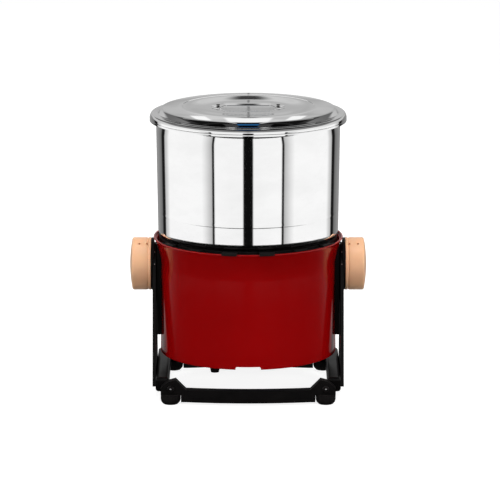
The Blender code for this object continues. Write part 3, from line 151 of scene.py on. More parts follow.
# Deck edge: each profile point is (radius, height over the rim)
UPSTAND_TOP = ((0.1290, 0.0006), (0.1290, 0.0002), (0.1272, 0.0002), (0.1268, -0.0004))
UPSTAND_END = ((0.1261, -0.0004), (0.1264, 0.0006))
UPSTAND_SHEET = 0.0008
UPSTAND_GAP = 0.0003
UPSTAND_DEPTH = 0.0045
UPSTAND_PITCH = 0.0010
UPSTAND_RINGS = 6
UPSTAND_HALF_ANGLE = radians(66.0)
UPSTAND_STEPS = 96
TAB_HOOK = (
    (0.1262, 0.0005), (0.1262, 0.0024), (0.1298, 0.0024), (0.1306, 0.0021), (0.1310, 0.0013),
    (0.1310, -0.0016), (0.1308, -0.0019), (0.1304, -0.0016), (0.1304, 0.0005),
)
TAB_BEARINGS = (-101.25, -78.75, 78.75, 101.25)
TAB_HALF_ANGLE = radians(4.6)
TAB_STEPS = 8

# Friction disc and its lip: each profile point is (radius from the pivot, distance out from the middle)
DISC = (
    (TRUNNION_R, 0.1306), (0.0354, 0.1306), (0.0358, 0.1310),
    (0.0358, 0.1321), (0.0354, 0.1325), (TRUNNION_R, 0.1325),
)
LIP = (
    (0.0300, 0.1290), (0.0300, 0.1306), (0.0357, 0.1306),
    (0.0357, 0.1290), (0.0354, 0.1288), (0.0303, 0.1288),
)
LIP_HALF_ANGLE = radians(70.0)
LIP_STEPS = 40
# Bright pins in each arm's head, standing in for highlights on its edge: painted highlights
PIN_X = 0.1278
PIN_RING = 0.02945
PIN_R = 0.0010
PIN_HEIGHT = 0.0007
PIN_LEANS = (("upper", 44.0), ("lower", 10.0))

# Clamp knobs
KNOB_EDGE = 0.003
KNOB_DOME = 0.003
DOME_STEPS = 12
KNOB_START = 0.0020
KNOB_SIDE_RINGS = (0.012, 0.018)
GROOVE_AT = 0.0061
GROOVE_R = 0.0009
GROOVE_HALF = 0.0016
KNOB_CORNER = 0.0010
SOCKET_DEPTH = 0.016
VENT_R = 0.0016
VENT_DEPTH = 0.009
VENT_OVERRUN = 0.004
VENT_LEAN = radians(60.0)
VENT_OFFSETS = {"left": (0.0074, 0.0178), "right": (0.0072, 0.0190)}

# Base colours, the darker and the lighter
RED_TONES = ((0.298, 0.0008, 0.0013), (0.342, 0.0012, 0.0018))
CREAM_TONES = ((0.90, 0.50, 0.280), (0.96, 0.55, 0.310))
WHITE_TONES = ((0.70, 0.69, 0.66), (0.78, 0.77, 0.74))
SWITCH_TONES = ((0.52, 0.012, 0.010), (0.60, 0.018, 0.014))
GRANITE_DARK = (0.10, 0.098, 0.095)
GRANITE_MIDDLE = (0.24, 0.235, 0.23)
GRANITE_PALE = (0.46, 0.45, 0.43)
MICA = (0.03, 0.03, 0.032)
WHITE = (1.0, 1.0, 1.0)

# Light: each lamp is (name, place, side, watts), then the glow of the floor and of the surroundings
LAMPS = (
    ("lamp_top", (0.0, -0.35, 2.1), 1.6, 46.0),
    ("lamp_left", (-1.8, -1.3, 1.1), 1.1, 17.0),
    ("lamp_back", (0.3, 2.0, 1.1), 1.2, 12.0),
    ("lamp_right", (1.8, -1.3, 1.1), 1.1, 18.0),
)
LAMP_AIM = (0.0, 0.0, 0.22)
FLOOR_HALF = 30.0
FLOOR_GLOW = 0.88
WORLD_LIGHT = 0.20
WORLD_SEEN = 1.0

# Tent of reflections: outlines in (radius, height), and tones by the bearing from the front in degrees
TENT_R = 0.95
TENT_TOP = 1.25
TENT_STEPS = 96
TENT_WALL = ((TENT_R, -0.02), (TENT_R, 0.44), (TENT_R, TENT_TOP))
TENT_ROOF = ((TENT_R, TENT_TOP), (0.5, TENT_TOP + 0.12), (0.0, TENT_TOP + 0.16))
SKIRT_Z = 0.0012
TENT_SKIRT = ((TENT_R, SKIRT_Z), (0.40, SKIRT_Z), (0.03, SKIRT_Z))
LOW_BAND = (
    (0, 0.004), (5.2, 0.005), (6.4, 0.97), (38, 1.0), (40.0, 0.95), (40.6, 0.01), (42.8, 0.01),
    (43.4, 0.48), (46, 0.60), (52, 0.84), (57, 1.0), (112, 1.0), (118, 0.66), (122, 0.58),
    (124.5, 0.01), (131, 0.01), (135, 0.18), (150, 0.28), (168, 0.35), (180, 0.10),
)
HIGH_BAND = (
    (0, 0.006), (9, 0.008), (13, 0.10), (28, 0.07), (30, 0.006), (50, 0.006), (56, 0.07), (75, 0.06),
    (92, 0.14), (120, 0.30), (145, 0.34), (165, 0.48), (174, 0.54), (180, 0.50),
)
FLANGE_BAND = ((0, 0.62), (6, 0.95), (50, 0.85), (80, 0.90), (120, 0.60), (180, 0.45))
SKIRT_BAND = (
    (0, 0.002), (70, 0.005), (95, 0.03), (110, 0.12), (120, 0.22), (132, 0.34), (145, 0.28), (160, 0.14),
    (180, 0.08),
)

# Patches of the tent's wall: each pair is (where it starts, where it is full), a bearing or a height
UPPER_Z = (0.42, 0.45)
FLANGE_Z = (1.12, 1.04)
REAR_HALF = (150, 170)
LOW_REAR = (150, 166)
LOW_REAR_Z = (0.26, 0.30)
BACK = (172, 175)
BACK_PALER_Z = (0.590, 0.610)
BACK_DARKER_Z = ((0.46, 0.50), (0.588, 0.572))
SHADE = (163, 150)
SHADE_Z = (0.62, 0.74)
BLOTCH = (178.3, 179.6)
BLOTCH_Z = ((0.605, 0.640), (0.76, 0.70))
POLE = (179.86, 179.93)
POLE_Z = (0.590, 0.580)
PANE = (176.5, 177.1)
PANE_Z = (0.722, 0.738)
GLINT = ((171.8, 172.3), (174.6, 174.1))
GLINT_Z = ((0.70, 0.715), (0.84, 0.82))

# Patches of the tent's roof: the same, measured sideways from the middle or from front to back
ROOF_BOX_X = ((0.125, 0.135), (0.175, 0.165))
ROOF_BOX_Y = ((-0.10, 0.0), (0.65, 0.5))
ROOF_SIDE_X = ((0.42, 0.46), (0.84, 0.80))
ROOF_CENTRE_X = (0.21, 0.17)
ROOF_FRONT_Y = (-0.36, -0.40)
ROOF_BLUE_Y = (-0.64, -0.60)

# Roof of the tent: tones from front to back, then each patch's tones from the middle to the back
ROOF_ALONG = ((0.20, 0.05), (0.30, 0.04), (0.36, 0.006), (0.68, 0.008), (0.77, 0.25), (0.85, 0.36))
ROOF_BLACKS = (0.002, 0.003)
ROOF_BLUES = ((0.015, 0.10, 0.26), (0.03, 0.12, 0.30))
ROOF_WHITES = (1.0, 0.9)

# The machine's two sides
SIDES = ((-1, "left"), (1, "right"))

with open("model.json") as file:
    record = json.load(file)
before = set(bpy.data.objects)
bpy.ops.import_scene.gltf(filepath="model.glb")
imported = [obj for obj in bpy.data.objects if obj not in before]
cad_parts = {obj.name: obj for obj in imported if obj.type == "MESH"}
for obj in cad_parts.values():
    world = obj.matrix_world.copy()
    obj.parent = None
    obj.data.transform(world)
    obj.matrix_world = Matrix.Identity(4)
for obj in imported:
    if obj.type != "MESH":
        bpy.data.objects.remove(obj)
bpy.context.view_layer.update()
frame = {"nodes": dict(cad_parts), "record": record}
nodes = frame["nodes"]


# Measures read back from the CAD nodes


def low(name):
    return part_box(name)[0]


def high(name):
    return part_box(name)[1]


def middle_z(name):
    return (low(name).z + high(name).z) / 2


PIVOT_Z = middle_z("clamp_knob_left")
SWITCH_Z = middle_z("switch_frame")
SHELL_BOTTOM = low("red_shell").z
RIM_Z = high("red_shell").z
DRUM_LOW = low("drum").z
DRUM_TOP = high("drum").z
LID_TOP = high("lid").z
BRIM_Z = LID_TOP - BRIM_DROP
PLATEAU_Z = LID_TOP + PLATEAU_RISE
DISH_Z = LID_TOP - DISH_DROP
STRAP_TOP = high("lid_handle").z - STRAP_CLEARANCE


# Mesh helpers


def new_object(name, shape, smooth_angle=35.0):
    mesh = bpy.data.meshes.new(name)
    bmesh.ops.recalc_face_normals(shape, faces=shape.faces)
    shape.to_mesh(mesh)
    shape.free()
    obj = bpy.data.objects.new(name, mesh)
    bpy.context.scene.collection.objects.link(obj)
    mesh.shade_smooth()
    mesh.set_sharp_from_angle(angle=radians(smooth_angle))
    return obj


def arc(centre_r, centre_z, radius, start, end, steps=8):
    points = []
    for i in range(steps + 1):
        angle = radians(start + (end - start) * i / steps)
        points.append((centre_r + radius * cos(angle), centre_z + radius * sin(angle)))
    return points


def lifted(profile, height):
    """Raise a profile of (radius, rise) to a height."""
    return [(radius, height + rise) for radius, rise in profile]


def lathe(profile, steps=FINE_STEPS, closed=True):
    """Turn a profile of (radius, height) about the vertical."""
    shape = bmesh.new()
    rings = []
    for radius, z in profile:
        if radius < 1e-6:
            rings.append([shape.verts.new((0.0, 0.0, z))] * steps)
            continue
        ring = []
        for i in range(steps):
            angle = 2 * pi * i / steps
            ring.append(shape.verts.new((radius * cos(angle), radius * sin(angle), z)))
        rings.append(ring)
    pairs = list(zip(rings, rings[1:]))
    if closed:
        pairs.append((rings[-1], rings[0]))
    for above, below in pairs:
        for i in range(steps):
            j = (i + 1) % steps
            corners = []
            for vert in (above[i], above[j], below[j], below[i]):
                if vert not in corners:
                    corners.append(vert)
            if len(corners) > 2:
                shape.faces.new(corners)
    return shape


def loft(shape, loops):
    """Join closed loops of corners one after the other and cap both ends."""
    count = len(loops[0])
    for one, two in zip(loops, loops[1:]):
        for i in range(count):
            j = (i + 1) % count
            shape.faces.new((one[i], one[j], two[j], two[i]))
    shape.faces.new(loops[0])
    shape.faces.new(list(reversed(loops[-1])))
    return shape


def swept_round(profile, middle, half_angle, steps):
    """Sweep a closed profile of (radius, height) round the vertical, to both sides of a middle."""
    start, end = middle - half_angle, middle + half_angle
    shape = bmesh.new()
    loops = []
    for i in range(steps + 1):
        angle = start + (end - start) * i / steps
        loops.append([shape.verts.new((r * cos(angle), r * sin(angle), z)) for r, z in profile])
    return loft(shape, loops)


def dress(obj, material, body, name=None):
    """Give a piece its finish and its body; the name is the CAD node that it replaces."""
    obj.data.materials.clear()
    obj.data.materials.append(material)
    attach(obj, body)
    if name:
        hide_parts(name)
    return obj


def turned(name, profile, material, body, replaced=None, steps=FINE_STEPS, closed=True, place=None):
    obj = new_object(name, lathe(profile, steps, closed))
    if place is not None:
        obj.data.transform(place)
    return dress(obj, material, body, replaced)


def box_shape(low_corner, high_corner):
    shape = bmesh.new()
    size = Vector(high_corner) - Vector(low_corner)
    middle = (Vector(high_corner) + Vector(low_corner)) / 2
    place = Matrix.Translation(middle) @ Matrix.Diagonal((*size, 1.0))
    bmesh.ops.create_cube(shape, size=1.0, matrix=place)
    return shape


def plug_shape(radius, top, bottom, steps):
    """Solid round rod about the vertical, as a cutter."""
    return lathe([(0.0, top), (radius, top), (radius, bottom), (0.0, bottom)], steps, closed=False)


def bevelled(obj, width, segments=3, angle=30.0):
    edge = obj.modifiers.new("edge", "BEVEL")
    edge.width = width
    edge.segments = segments
    edge.limit_method = "ANGLE"
    edge.angle_limit = radians(angle)
    edge.harden_normals = False
    return obj


def apply_modifiers(obj, angle=35.0):
    depsgraph = bpy.context.evaluated_depsgraph_get()
    mesh = bpy.data.meshes.new_from_object(obj.evaluated_get(depsgraph))
    obj.modifiers.clear()
    obj.data = mesh
    mesh.shade_smooth()
    mesh.set_sharp_from_angle(angle=radians(angle))
    return obj


def cut(obj, cutters):
    """Take the cutters out of obj with exact Booleans and drop them."""
    for cutter in cutters:
        modifier = obj.modifiers.new("cut", "BOOLEAN")
        modifier.operation = "DIFFERENCE"
        modifier.solver = "EXACT"
        modifier.object = cutter
    bpy.context.view_layer.update()
    apply_modifiers(obj)
    for cutter in cutters:
        bpy.data.objects.remove(cutter)
    return obj


def along_pivot(side):
    """Turn a piece made about the vertical onto the pivot, pointing out at its side."""
    return Matrix.Translation((0.0, 0.0, PIVOT_Z)) @ Matrix.Rotation(side * pi / 2, 4, "Y")


def facing(axis):
    """Rotation that turns the vertical onto an axis."""
    return Vector((0.0, 0.0, 1.0)).rotation_difference(Vector(axis)).to_matrix().to_4x4()


# Node helpers


def new_tree(owner):
    owner.use_nodes = True
    owner.node_tree.nodes.clear()
    return owner.node_tree


def new_material(name):
    material = bpy.data.materials.new(name)
    tree = new_tree(material)
    output = tree.nodes.new("ShaderNodeOutputMaterial")
    shader = tree.nodes.new("ShaderNodeBsdfPrincipled")
    link(tree, shader.outputs["BSDF"], output.inputs["Surface"])
    return material, tree, shader


def new_glow(name):
    """Material that only glows, for the tent that the steel reflects."""
    material = bpy.data.materials.new(name)
    tree = new_tree(material)
    output = tree.nodes.new("ShaderNodeOutputMaterial")
    glow = tree.nodes.new("ShaderNodeEmission")
    link(tree, glow.outputs["Emission"], output.inputs["Surface"])
    return material, tree, glow


def node(tree, kind, **settings):
    made = tree.nodes.new(kind)
    for key, value in settings.items():
        setattr(made, key, value)
    return made


def link(tree, source, target):
    tree.links.new(source, target)


def coordinates(tree, scale=(1.0, 1.0, 1.0)):
    source = node(tree, "ShaderNodeTexCoord")
    mapping = node(tree, "ShaderNodeMapping")
    mapping.inputs["Scale"].default_value = scale
    link(tree, source.outputs["Object"], mapping.inputs["Vector"])
    return mapping.outputs["Vector"]


def position(tree):
    """The object's own x, y and z."""
    source = node(tree, "ShaderNodeTexCoord")
    split = node(tree, "ShaderNodeSeparateXYZ")
    link(tree, source.outputs["Object"], split.inputs["Vector"])
    return [split.outputs[axis] for axis in "XYZ"]


def noise(tree, vector, scale, detail=4.0, roughness=0.55):
    made = node(tree, "ShaderNodeTexNoise")
    made.inputs["Scale"].default_value = scale
    made.inputs["Detail"].default_value = detail
    made.inputs["Roughness"].default_value = roughness
    link(tree, vector, made.inputs["Vector"])
    return made.outputs["Fac"]


def ramp(tree, factor, stops):
    made = node(tree, "ShaderNodeValToRGB")
    elements = made.color_ramp.elements
    elements[0].position, elements[1].position = stops[0][0], stops[-1][0]
    for place, _ in stops[1:-1]:
        elements.new(place)
    for element, (_, colour) in zip(elements, stops):
        element.color = (*((colour,) * 3 if isinstance(colour, float) else colour), 1.0)
    link(tree, factor, made.inputs["Fac"])
    return made.outputs["Color"]


def two_tones(tree, factor, start, end, tones):
    return ramp(tree, factor, [(start, tones[0]), (end, tones[1])])


def spread(tree, factor, low_value, high_value):
    made = node(tree, "ShaderNodeMapRange")
    made.inputs["To Min"].default_value = low_value
    made.inputs["To Max"].default_value = high_value
    link(tree, factor, made.inputs["Value"])
    return made.outputs["Result"]


def maths(tree, operation, first, second=None):
    made = node(tree, "ShaderNodeMath", operation=operation)
    for socket, value in zip(made.inputs, (first, second)):
        if value is None:
            continue
        if isinstance(value, (int, float)):
            socket.default_value = value
        else:
            link(tree, value, socket)
    return made.outputs["Value"]


def product(tree, *values):
    result = values[0]
    for value in values[1:]:
        result = maths(tree, "MULTIPLY", result, value)
    return result


def between(tree, value, start, end):
    """Smooth step from 0 at start to 1 at end."""
    made = node(tree, "ShaderNodeMapRange", interpolation_type="SMOOTHSTEP")
    made.inputs["From Min"].default_value = start
    made.inputs["From Max"].default_value = end
    link(tree, value, made.inputs["Value"])
    return made.outputs["Result"]


def window(tree, value, rise, fall):
    """1 inside a soft-edged stretch: rise and fall are each (where it is 0, where it is 1)."""
    return product(tree, between(tree, value, *rise), between(tree, value, *fall))


def mixed_tone(tree, factor, first, second):
    made = node(tree, "ShaderNodeMix", data_type="RGBA")
    link(tree, factor, made.inputs["Factor"])
    link(tree, first, made.inputs[6])
    link(tree, second, made.inputs[7])
    return made.outputs[2]


def scaled(tree, colour, amount):
    """A colour times an amount, held at 1."""
    made = node(tree, "ShaderNodeVectorMath", operation="SCALE")
    made.inputs["Scale"].default_value = amount
    link(tree, colour, made.inputs[0])
    clipped = node(tree, "ShaderNodeVectorMath", operation="MINIMUM")
    link(tree, made.outputs["Vector"], clipped.inputs[0])
    clipped.inputs[1].default_value = WHITE
    return clipped.outputs["Vector"]


def bump(tree, shader, height, distance):
    made = node(tree, "ShaderNodeBump")
    made.inputs["Distance"].default_value = distance
    made.inputs["Strength"].default_value = 1.0
    link(tree, height, made.inputs["Height"])
    link(tree, made.outputs["Normal"], shader.inputs["Normal"])


# Materials


def turned_coordinates(tree):
    """Radius, height and angle about the vertical axis, so that lines run round the piece."""
    x, y, z = position(tree)
    square = maths(tree, "ADD", product(tree, x, x), product(tree, y, y))
    return maths(tree, "SQRT", square), z, maths(tree, "ARCTAN2", y, x)


def mirror_steel():
    """Polished stainless: faint lines round the piece, a few soft smears."""
    material, tree, shader = new_material("mirror_steel")
    radius, z, angle = turned_coordinates(tree)
    joined = node(tree, "ShaderNodeCombineXYZ")
    link(tree, radius, joined.inputs["X"])
    link(tree, product(tree, angle, 0.004), joined.inputs["Y"])
    link(tree, z, joined.inputs["Z"])
    lines = noise(tree, joined.outputs["Vector"], 1400.0, 3.0)
    smears = noise(tree, coordinates(tree, (1.0, 1.0, 2.2)), 16.0, 4.0, 0.6)
    mix = maths(tree, "ADD", product(tree, lines, 0.35), product(tree, smears, 0.65))
    link(tree, spread(tree, mix, 0.015, 0.07), shader.inputs["Roughness"])
    link(tree, two_tones(tree, smears, 0.35, 0.65, (0.89, 0.94)), shader.inputs["Base Color"])
    shader.inputs["Metallic"].default_value = 1.0
    bump(tree, shader, lines, 0.000002)
    return material


def red_paint():
    """Deep red gloss moulding with a slight orange peel."""
    material, tree, shader = new_material("red_gloss")
    place = coordinates(tree)
    cloud = noise(tree, place, 9.0, 3.0)
    link(tree, two_tones(tree, cloud, 0.3, 0.7, RED_TONES), shader.inputs["Base Color"])
    fine = noise(tree, place, 420.0, 2.0)
    wear = noise(tree, place, 60.0, 5.0, 0.65)
    link(tree, spread(tree, wear, 0.08, 0.17), shader.inputs["Roughness"])
    shader.inputs["Specular IOR Level"].default_value = 0.35
    shader.inputs["Coat Weight"].default_value = 0.15
    shader.inputs["Coat Roughness"].default_value = 0.06
    bump(tree, shader, fine, 0.000012)
    return material


def cream_plastic():
    """Cream moulding, soft sheen, a little light passing under the skin."""
    material, tree, shader = new_material("cream_plastic")
    place = coordinates(tree)
    cloud = noise(tree, place, 35.0, 4.0)
    link(tree, two_tones(tree, cloud, 0.3, 0.7, CREAM_TONES), shader.inputs["Base Color"])
    fine = noise(tree, place, 900.0, 3.0)
    link(tree, spread(tree, fine, 0.34, 0.46), shader.inputs["Roughness"])
    shader.inputs["Coat Weight"].default_value = 0.35
    shader.inputs["Coat Roughness"].default_value = 0.30
    shader.inputs["Subsurface Weight"].default_value = 0.15
    shader.inputs["Subsurface Radius"].default_value = (0.004, 0.002, 0.001)
    bump(tree, shader, fine, 0.00001)
    return material


def black_coat(name, tone, rough):
    """What the black finishes share: fine grain and rubbed, slightly lighter patches."""
    material, tree, shader = new_material(name)
    place = coordinates(tree)
    cloud = noise(tree, place, 45.0, 5.0, 0.65)
    tones = ((tone, tone * 0.88, tone * 0.9), (tone * 1.9, tone * 1.6, tone * 1.6))
    link(tree, two_tones(tree, cloud, 0.35, 0.75, tones), shader.inputs["Base Color"])
    shader.inputs["Specular IOR Level"].default_value = 0.12
    grain = noise(tree, place, 1500.0, 3.0)
    link(tree, spread(tree, cloud, *rough), shader.inputs["Roughness"])
    bump(tree, shader, grain, 0.00003)
    return material


def black_metal():
    return black_coat("black_metal", 0.0025, (0.26, 0.40))


def black_plastic():
    return black_coat("black_plastic", 0.0035, (0.34, 0.50))


def rubber():
    return black_coat("rubber", 0.0060, (0.60, 0.80))


def dark_bolt():
    return black_coat("dark_bolt", 0.006, (0.22, 0.34))


def granite():
    """Grey granite: feldspar blotches, black mica flecks and pale quartz."""
    material, tree, shader = new_material("granite")
    place = coordinates(tree)
    blotch = noise(tree, place, 180.0, 6.0, 0.7)
    base = ramp(tree, blotch, [(0.30, GRANITE_DARK), (0.5, GRANITE_MIDDLE), (0.68, GRANITE_PALE)])
    cells = node(tree, "ShaderNodeTexVoronoi", feature="F1")
    cells.inputs["Scale"].default_value = 420.0
    link(tree, place, cells.inputs["Vector"])
    flecks = ramp(tree, cells.outputs["Distance"], [(0.10, 1.0), (0.24, 0.0)])
    mixed = node(tree, "ShaderNodeMix", data_type="RGBA")
    link(tree, flecks, mixed.inputs["Factor"])
    link(tree, base, mixed.inputs[6])
    mixed.inputs[7].default_value = (*MICA, 1.0)
    link(tree, mixed.outputs[2], shader.inputs["Base Color"])
    shader.inputs["Roughness"].default_value = 0.62
    bump(tree, shader, noise(tree, place, 700.0, 4.0), 0.00015)
    return material


def plain_metal(name, tone, rough, lines=900.0):
    """Machined metal with turning lines along one axis."""
    material, tree, shader = new_material(name)
    streak = noise(tree, coordinates(tree, (1.0, 1.0, 14.0)), lines, 2.0)
    cloud = noise(tree, coordinates(tree), 70.0, 4.0)
    link(tree, two_tones(tree, cloud, 0.3, 0.7, (tone * 0.86, tone)), shader.inputs["Base Color"])
    link(tree, spread(tree, streak, *rough), shader.inputs["Roughness"])
    shader.inputs["Metallic"].default_value = 1.0
    bump(tree, shader, streak, 0.000008)
    return material


def shaft_steel():
    return plain_metal("shaft_steel", 0.62, (0.22, 0.40))


# Bright zinc for the small pieces that stand in for highlights on the dark bolts and arms: painted
# highlights
def highlight_zinc():
    return plain_metal("highlight_zinc", 0.72, (0.18, 0.34))


def cast_metal():
    return plain_metal("cast_metal", 0.42, (0.42, 0.62), 300.0)


def white_plastic():
    material, tree, shader = new_material("white_plastic")
    place = coordinates(tree)
    cloud = noise(tree, place, 40.0, 4.0)
    link(tree, two_tones(tree, cloud, 0.3, 0.7, WHITE_TONES), shader.inputs["Base Color"])
    fine = noise(tree, place, 800.0, 2.0)
    link(tree, spread(tree, fine, 0.34, 0.48), shader.inputs["Roughness"])
    bump(tree, shader, fine, 0.00001)
    return material


def switch_red():
    material, tree, shader = new_material("switch_red")
    place = coordinates(tree)
    cloud = noise(tree, place, 160.0, 3.0)
    link(tree, two_tones(tree, cloud, 0.3, 0.7, SWITCH_TONES), shader.inputs["Base Color"])
    link(tree, spread(tree, cloud, 0.20, 0.32), shader.inputs["Roughness"])
    bump(tree, shader, noise(tree, place, 900.0), 0.00001)
    return material


STEEL = mirror_steel()
RED = red_paint()
CREAM = cream_plastic()
BLACK_PLASTIC = black_plastic()
DARK = dark_bolt()
HIGHLIGHT_ZINC = highlight_zinc()

FINISHES = {
    "mirror_steel": STEEL,
    "shaft_steel": shaft_steel(),
    "red_plastic": RED,
    "black_plastic": BLACK_PLASTIC,
    "black_steel": black_metal(),
    "cream_plastic": CREAM,
    "rubber": rubber(),
    "granite": granite(),
    "cast_metal": cast_metal(),
    "white_plastic": white_plastic(),
    "switch_red": switch_red(),
}


def finish_cad_nodes():
    """Give every carried-over CAD node its own finish, by the record's slots."""
    slots = {}
    for entry in frame["record"]["subparts"]:
        slots[entry["node"]] = entry["material_slot"]
    for name, obj in nodes.items():
        material = DARK if name.startswith("frame_bolt") else FINISHES[slots[name]]
        if not obj.material_slots:
            obj.data.materials.append(material)
        for slot in obj.material_slots:
            slot.material = material


# Drum


def drum_radius(z):
    return DRUM_LOW_R + (DRUM_TOP_R - DRUM_LOW_R) * (z - DRUM_LOW) / (DRUM_TOP - DRUM_LOW)


def make_drum():
    """Thin bowl: rolled rim, slight taper, pressed bead, rounded lower corner."""
    lip_z = DRUM_TOP - DRUM_LIP
    bead_z = DRUM_LOW + BEAD_RISE
    corner_z = DRUM_LOW + DRUM_CORNER
    corner_r = drum_radius(corner_z) - DRUM_CORNER
    above = (lip_z - LIP_MARGIN, lip_z - END_RING, *DRUM_WALL_RINGS, bead_z + BEAD_MARGIN)
    below = (bead_z - BEAD_MARGIN, bead_z - BEAD_FOOT, corner_z + CORNER_MARGIN)
    inside = (DRUM_LOW + END_RING, *reversed(DRUM_WALL_RINGS), lip_z - END_RING, lip_z - INNER_MARGIN)
    profile = arc(drum_radius(lip_z), lip_z, DRUM_LIP, 150, -80, 16)
    profile += [(drum_radius(z), z) for z in above]
    for i in range(BEAD_STEPS + 1):
        share = i / BEAD_STEPS
        z = bead_z + BEAD_HALF - 2 * BEAD_HALF * share
        profile.append((drum_radius(z) + BEAD_PROUD * sin(pi * share), z))
    profile += [(drum_radius(z), z) for z in below]
    profile += arc(corner_r, corner_z, DRUM_CORNER, 0, -90, 10)
    floor = (*DRUM_FLOOR_RINGS, DRUM_HOLE_R)
    profile += [(r, DRUM_LOW) for r in floor]
    profile += [(r, DRUM_LOW + DRUM_WALL) for r in reversed(floor)]
    profile += arc(corner_r, corner_z, DRUM_CORNER - DRUM_WALL, -90, 0, 8)
    profile += [(drum_radius(z) - DRUM_WALL, z) for z in inside]
    return turned("drum_skin", profile, STEEL, "drum_set", "drum")


# Lid


def swept(start, bends):
    """Follow a sheet outwards from start: each bend is (length, first slope, last slope)."""
    r, z = start
    points = []
    for length, first, last in bends:
        steps = max(1, round(abs(last - first) / 6))
        for i in range(steps):
            slope = radians(first + (last - first) * (i + 0.5) / steps)
            r += length / steps * cos(slope)
            z -= length / steps * sin(slope)
            points.append((r, z))
    return points


def eased(start, base, width, rise, steps):
    """Climb smoothly outwards from a radius and height."""
    points = []
    for i in range(1, steps + 1):
        share = i / steps
        points.append((start + width * share, base + rise * (1 - cos(pi * share)) / 2))
    return points


def lid_outer():
    """Dish, creased edge, crowned plateau, riser, brim, rounded flange and its grooved foot."""
    points = [(r, DISH_Z) for r in DISH_FLOOR_RINGS]
    crease_z = PLATEAU_Z - CREASE_RISE
    points += eased(points[-1][0], DISH_Z, DISH_WALL, crease_z - DISH_Z, DISH_STEPS)
    points += eased(points[-1][0], crease_z, CREASE_WIDTH, CREASE_RISE, CREASE_STEPS)
    points += swept(points[-1], CROWN)
    steepest = RISER_SLOPES[-1]
    slope = radians(steepest)
    mean = radians((RISER_SLOPES[0] + steepest) / 2)
    length = (points[-1][1] - BRIM_Z - FILLET_R * (1 - cos(slope))) / sin(mean)
    thirds = [(length / 3, first, last) for first, last in zip(RISER_SLOPES, RISER_SLOPES[1:])]
    points += swept(points[-1], thirds)
    fillet_r = points[-1][0] + FILLET_R * sin(slope)
    points += arc(fillet_r, BRIM_Z + FILLET_R, FILLET_R, 270 - steepest, 270, 6)[1:]
    points.append((BRIM_R, BRIM_Z))
    points += arc(BRIM_EDGE_CENTRE, BRIM_Z - BRIM_EDGE_R, BRIM_EDGE_R, 88, 30, 8)
    points += arc(FLANGE_CENTRE, BRIM_Z - FLANGE_CENTRE_DROP, FLANGE_R, 29, 0, 7)
    return points + lifted(FLANGE_FOOT, BRIM_Z)


def make_lid():
    """The lid's outer skin and, a sheet's thickness inside it, the inner one."""
    outer = lid_outer()
    wall = [point for point in outer if point[1] > LID_TOP - LINER_DEPTH]
    inner = []
    for i, (r, z) in enumerate(wall):
        before, after = wall[max(0, i - 1)], wall[min(len(wall) - 1, i + 1)]
        tangent = Vector((after[0] - before[0], after[1] - before[1])).normalized()
        inner.append((max(0.0, r + tangent.y * LID_SHEET), z - tangent.x * LID_SHEET))
    inner += lifted(LINER_FOOT, LID_TOP)
    profile = outer + list(reversed(inner))
    return turned("lid_skin", profile, STEEL, "lid_body", "lid", LID_STEPS, closed=False)


def strap_section(z, half):
    """Across the strap: a top that leans to the front and is slightly crowned, square sides."""
    top_half = max(half - STRAP_EDGE, STRAP_TOP_SHARE * half)
    section = []
    for i in range(STRAP_ACROSS + 1):
        t = 2 * i / STRAP_ACROSS - 1
        section.append((top_half * t, z + STRAP_THICK - STRAP_LEAN * (1 - t) - STRAP_CROWN * t * t))
    return section + [(half, z + STRAP_SHOULDER), (half, z), (-half, z), (-half, z + STRAP_SHOULDER)]


def make_strap():
    """Bent strap handle: rounded edges, pointed feet, two round-headed rivets at each end."""
    rise = STRAP_TOP - DISH_Z - STRAP_THICK
    mirrored = [(-x, share, half) for x, share, half in reversed(STRAP_STATIONS[1:])]
    shape = bmesh.new()
    loops = []
    for x, share, half in mirrored + list(STRAP_STATIONS):
        section = strap_section(DISH_Z + rise * share, half)
        loops.append([shape.verts.new((x, y, z)) for y, z in section])
    strap = new_object("lid_strap", loft(shape, loops), smooth_angle=20.0)
    bevelled(strap, STRAP_BEVEL, segments=2, angle=40.0)
    dress(strap, STEEL, "lid_body", "lid_handle")
    for side, hand in SIDES:
        for y, end in ((-RIVET_Y, "front"), (RIVET_Y, "rear")):
            # The rivet heads take the dark finish so that they show as dark strokes by the strap's feet:
            # painted shade on the rivets
            at = (side * RIVET_X, y, DISH_Z + STRAP_THICK)
            make_rivet(f"lid_rivet_{hand}_{end}", at, RIVET_R, RIVET_HEIGHT, DARK, "lid_body")


def make_bolt_dots():
    """The small bright end of the screw in each dark frame bolt, which stands in for its highlight:
    painted highlight.
    """
    for name in nodes:
        if name.startswith("frame_bolt"):
            lo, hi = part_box(name)
            front = "front" in name
            at = ((lo.x + hi.x) / 2, lo.y if front else hi.y, (lo.z + hi.z) / 2)
            axis = (0.0, -1.0 if front else 1.0, 0.0)
            # The bright end stands in for the bolt's highlight: painted highlight
            make_rivet(f"{name}_end", at, BOLT_END_R, BOLT_END_HEIGHT, HIGHLIGHT_ZINC, "stand", axis)


def make_rivet(name, at, radius, height, material, body, axis=(0.0, 0.0, 1.0)):
    """Low domed head on a surface, its flat side down."""
    profile = [(0.0, height)]
    for i in range(1, HEAD_STEPS + 1):
        angle = pi / 2 * i / HEAD_STEPS
        profile.append((radius * sin(angle), height * cos(angle)))
    profile.append((0.0, 0.0))
    place = Matrix.Translation(at) @ facing(axis)
    return turned(name, profile, material, body, steps=RIVET_STEPS, closed=False, place=place)


# Red housing


def shell_radius(z):
    share = max(0.0, (z - (RIM_Z - FLARE_HEIGHT)) / FLARE_HEIGHT)
    return SHELL_R + (RIM_R - SHELL_R) * share**2


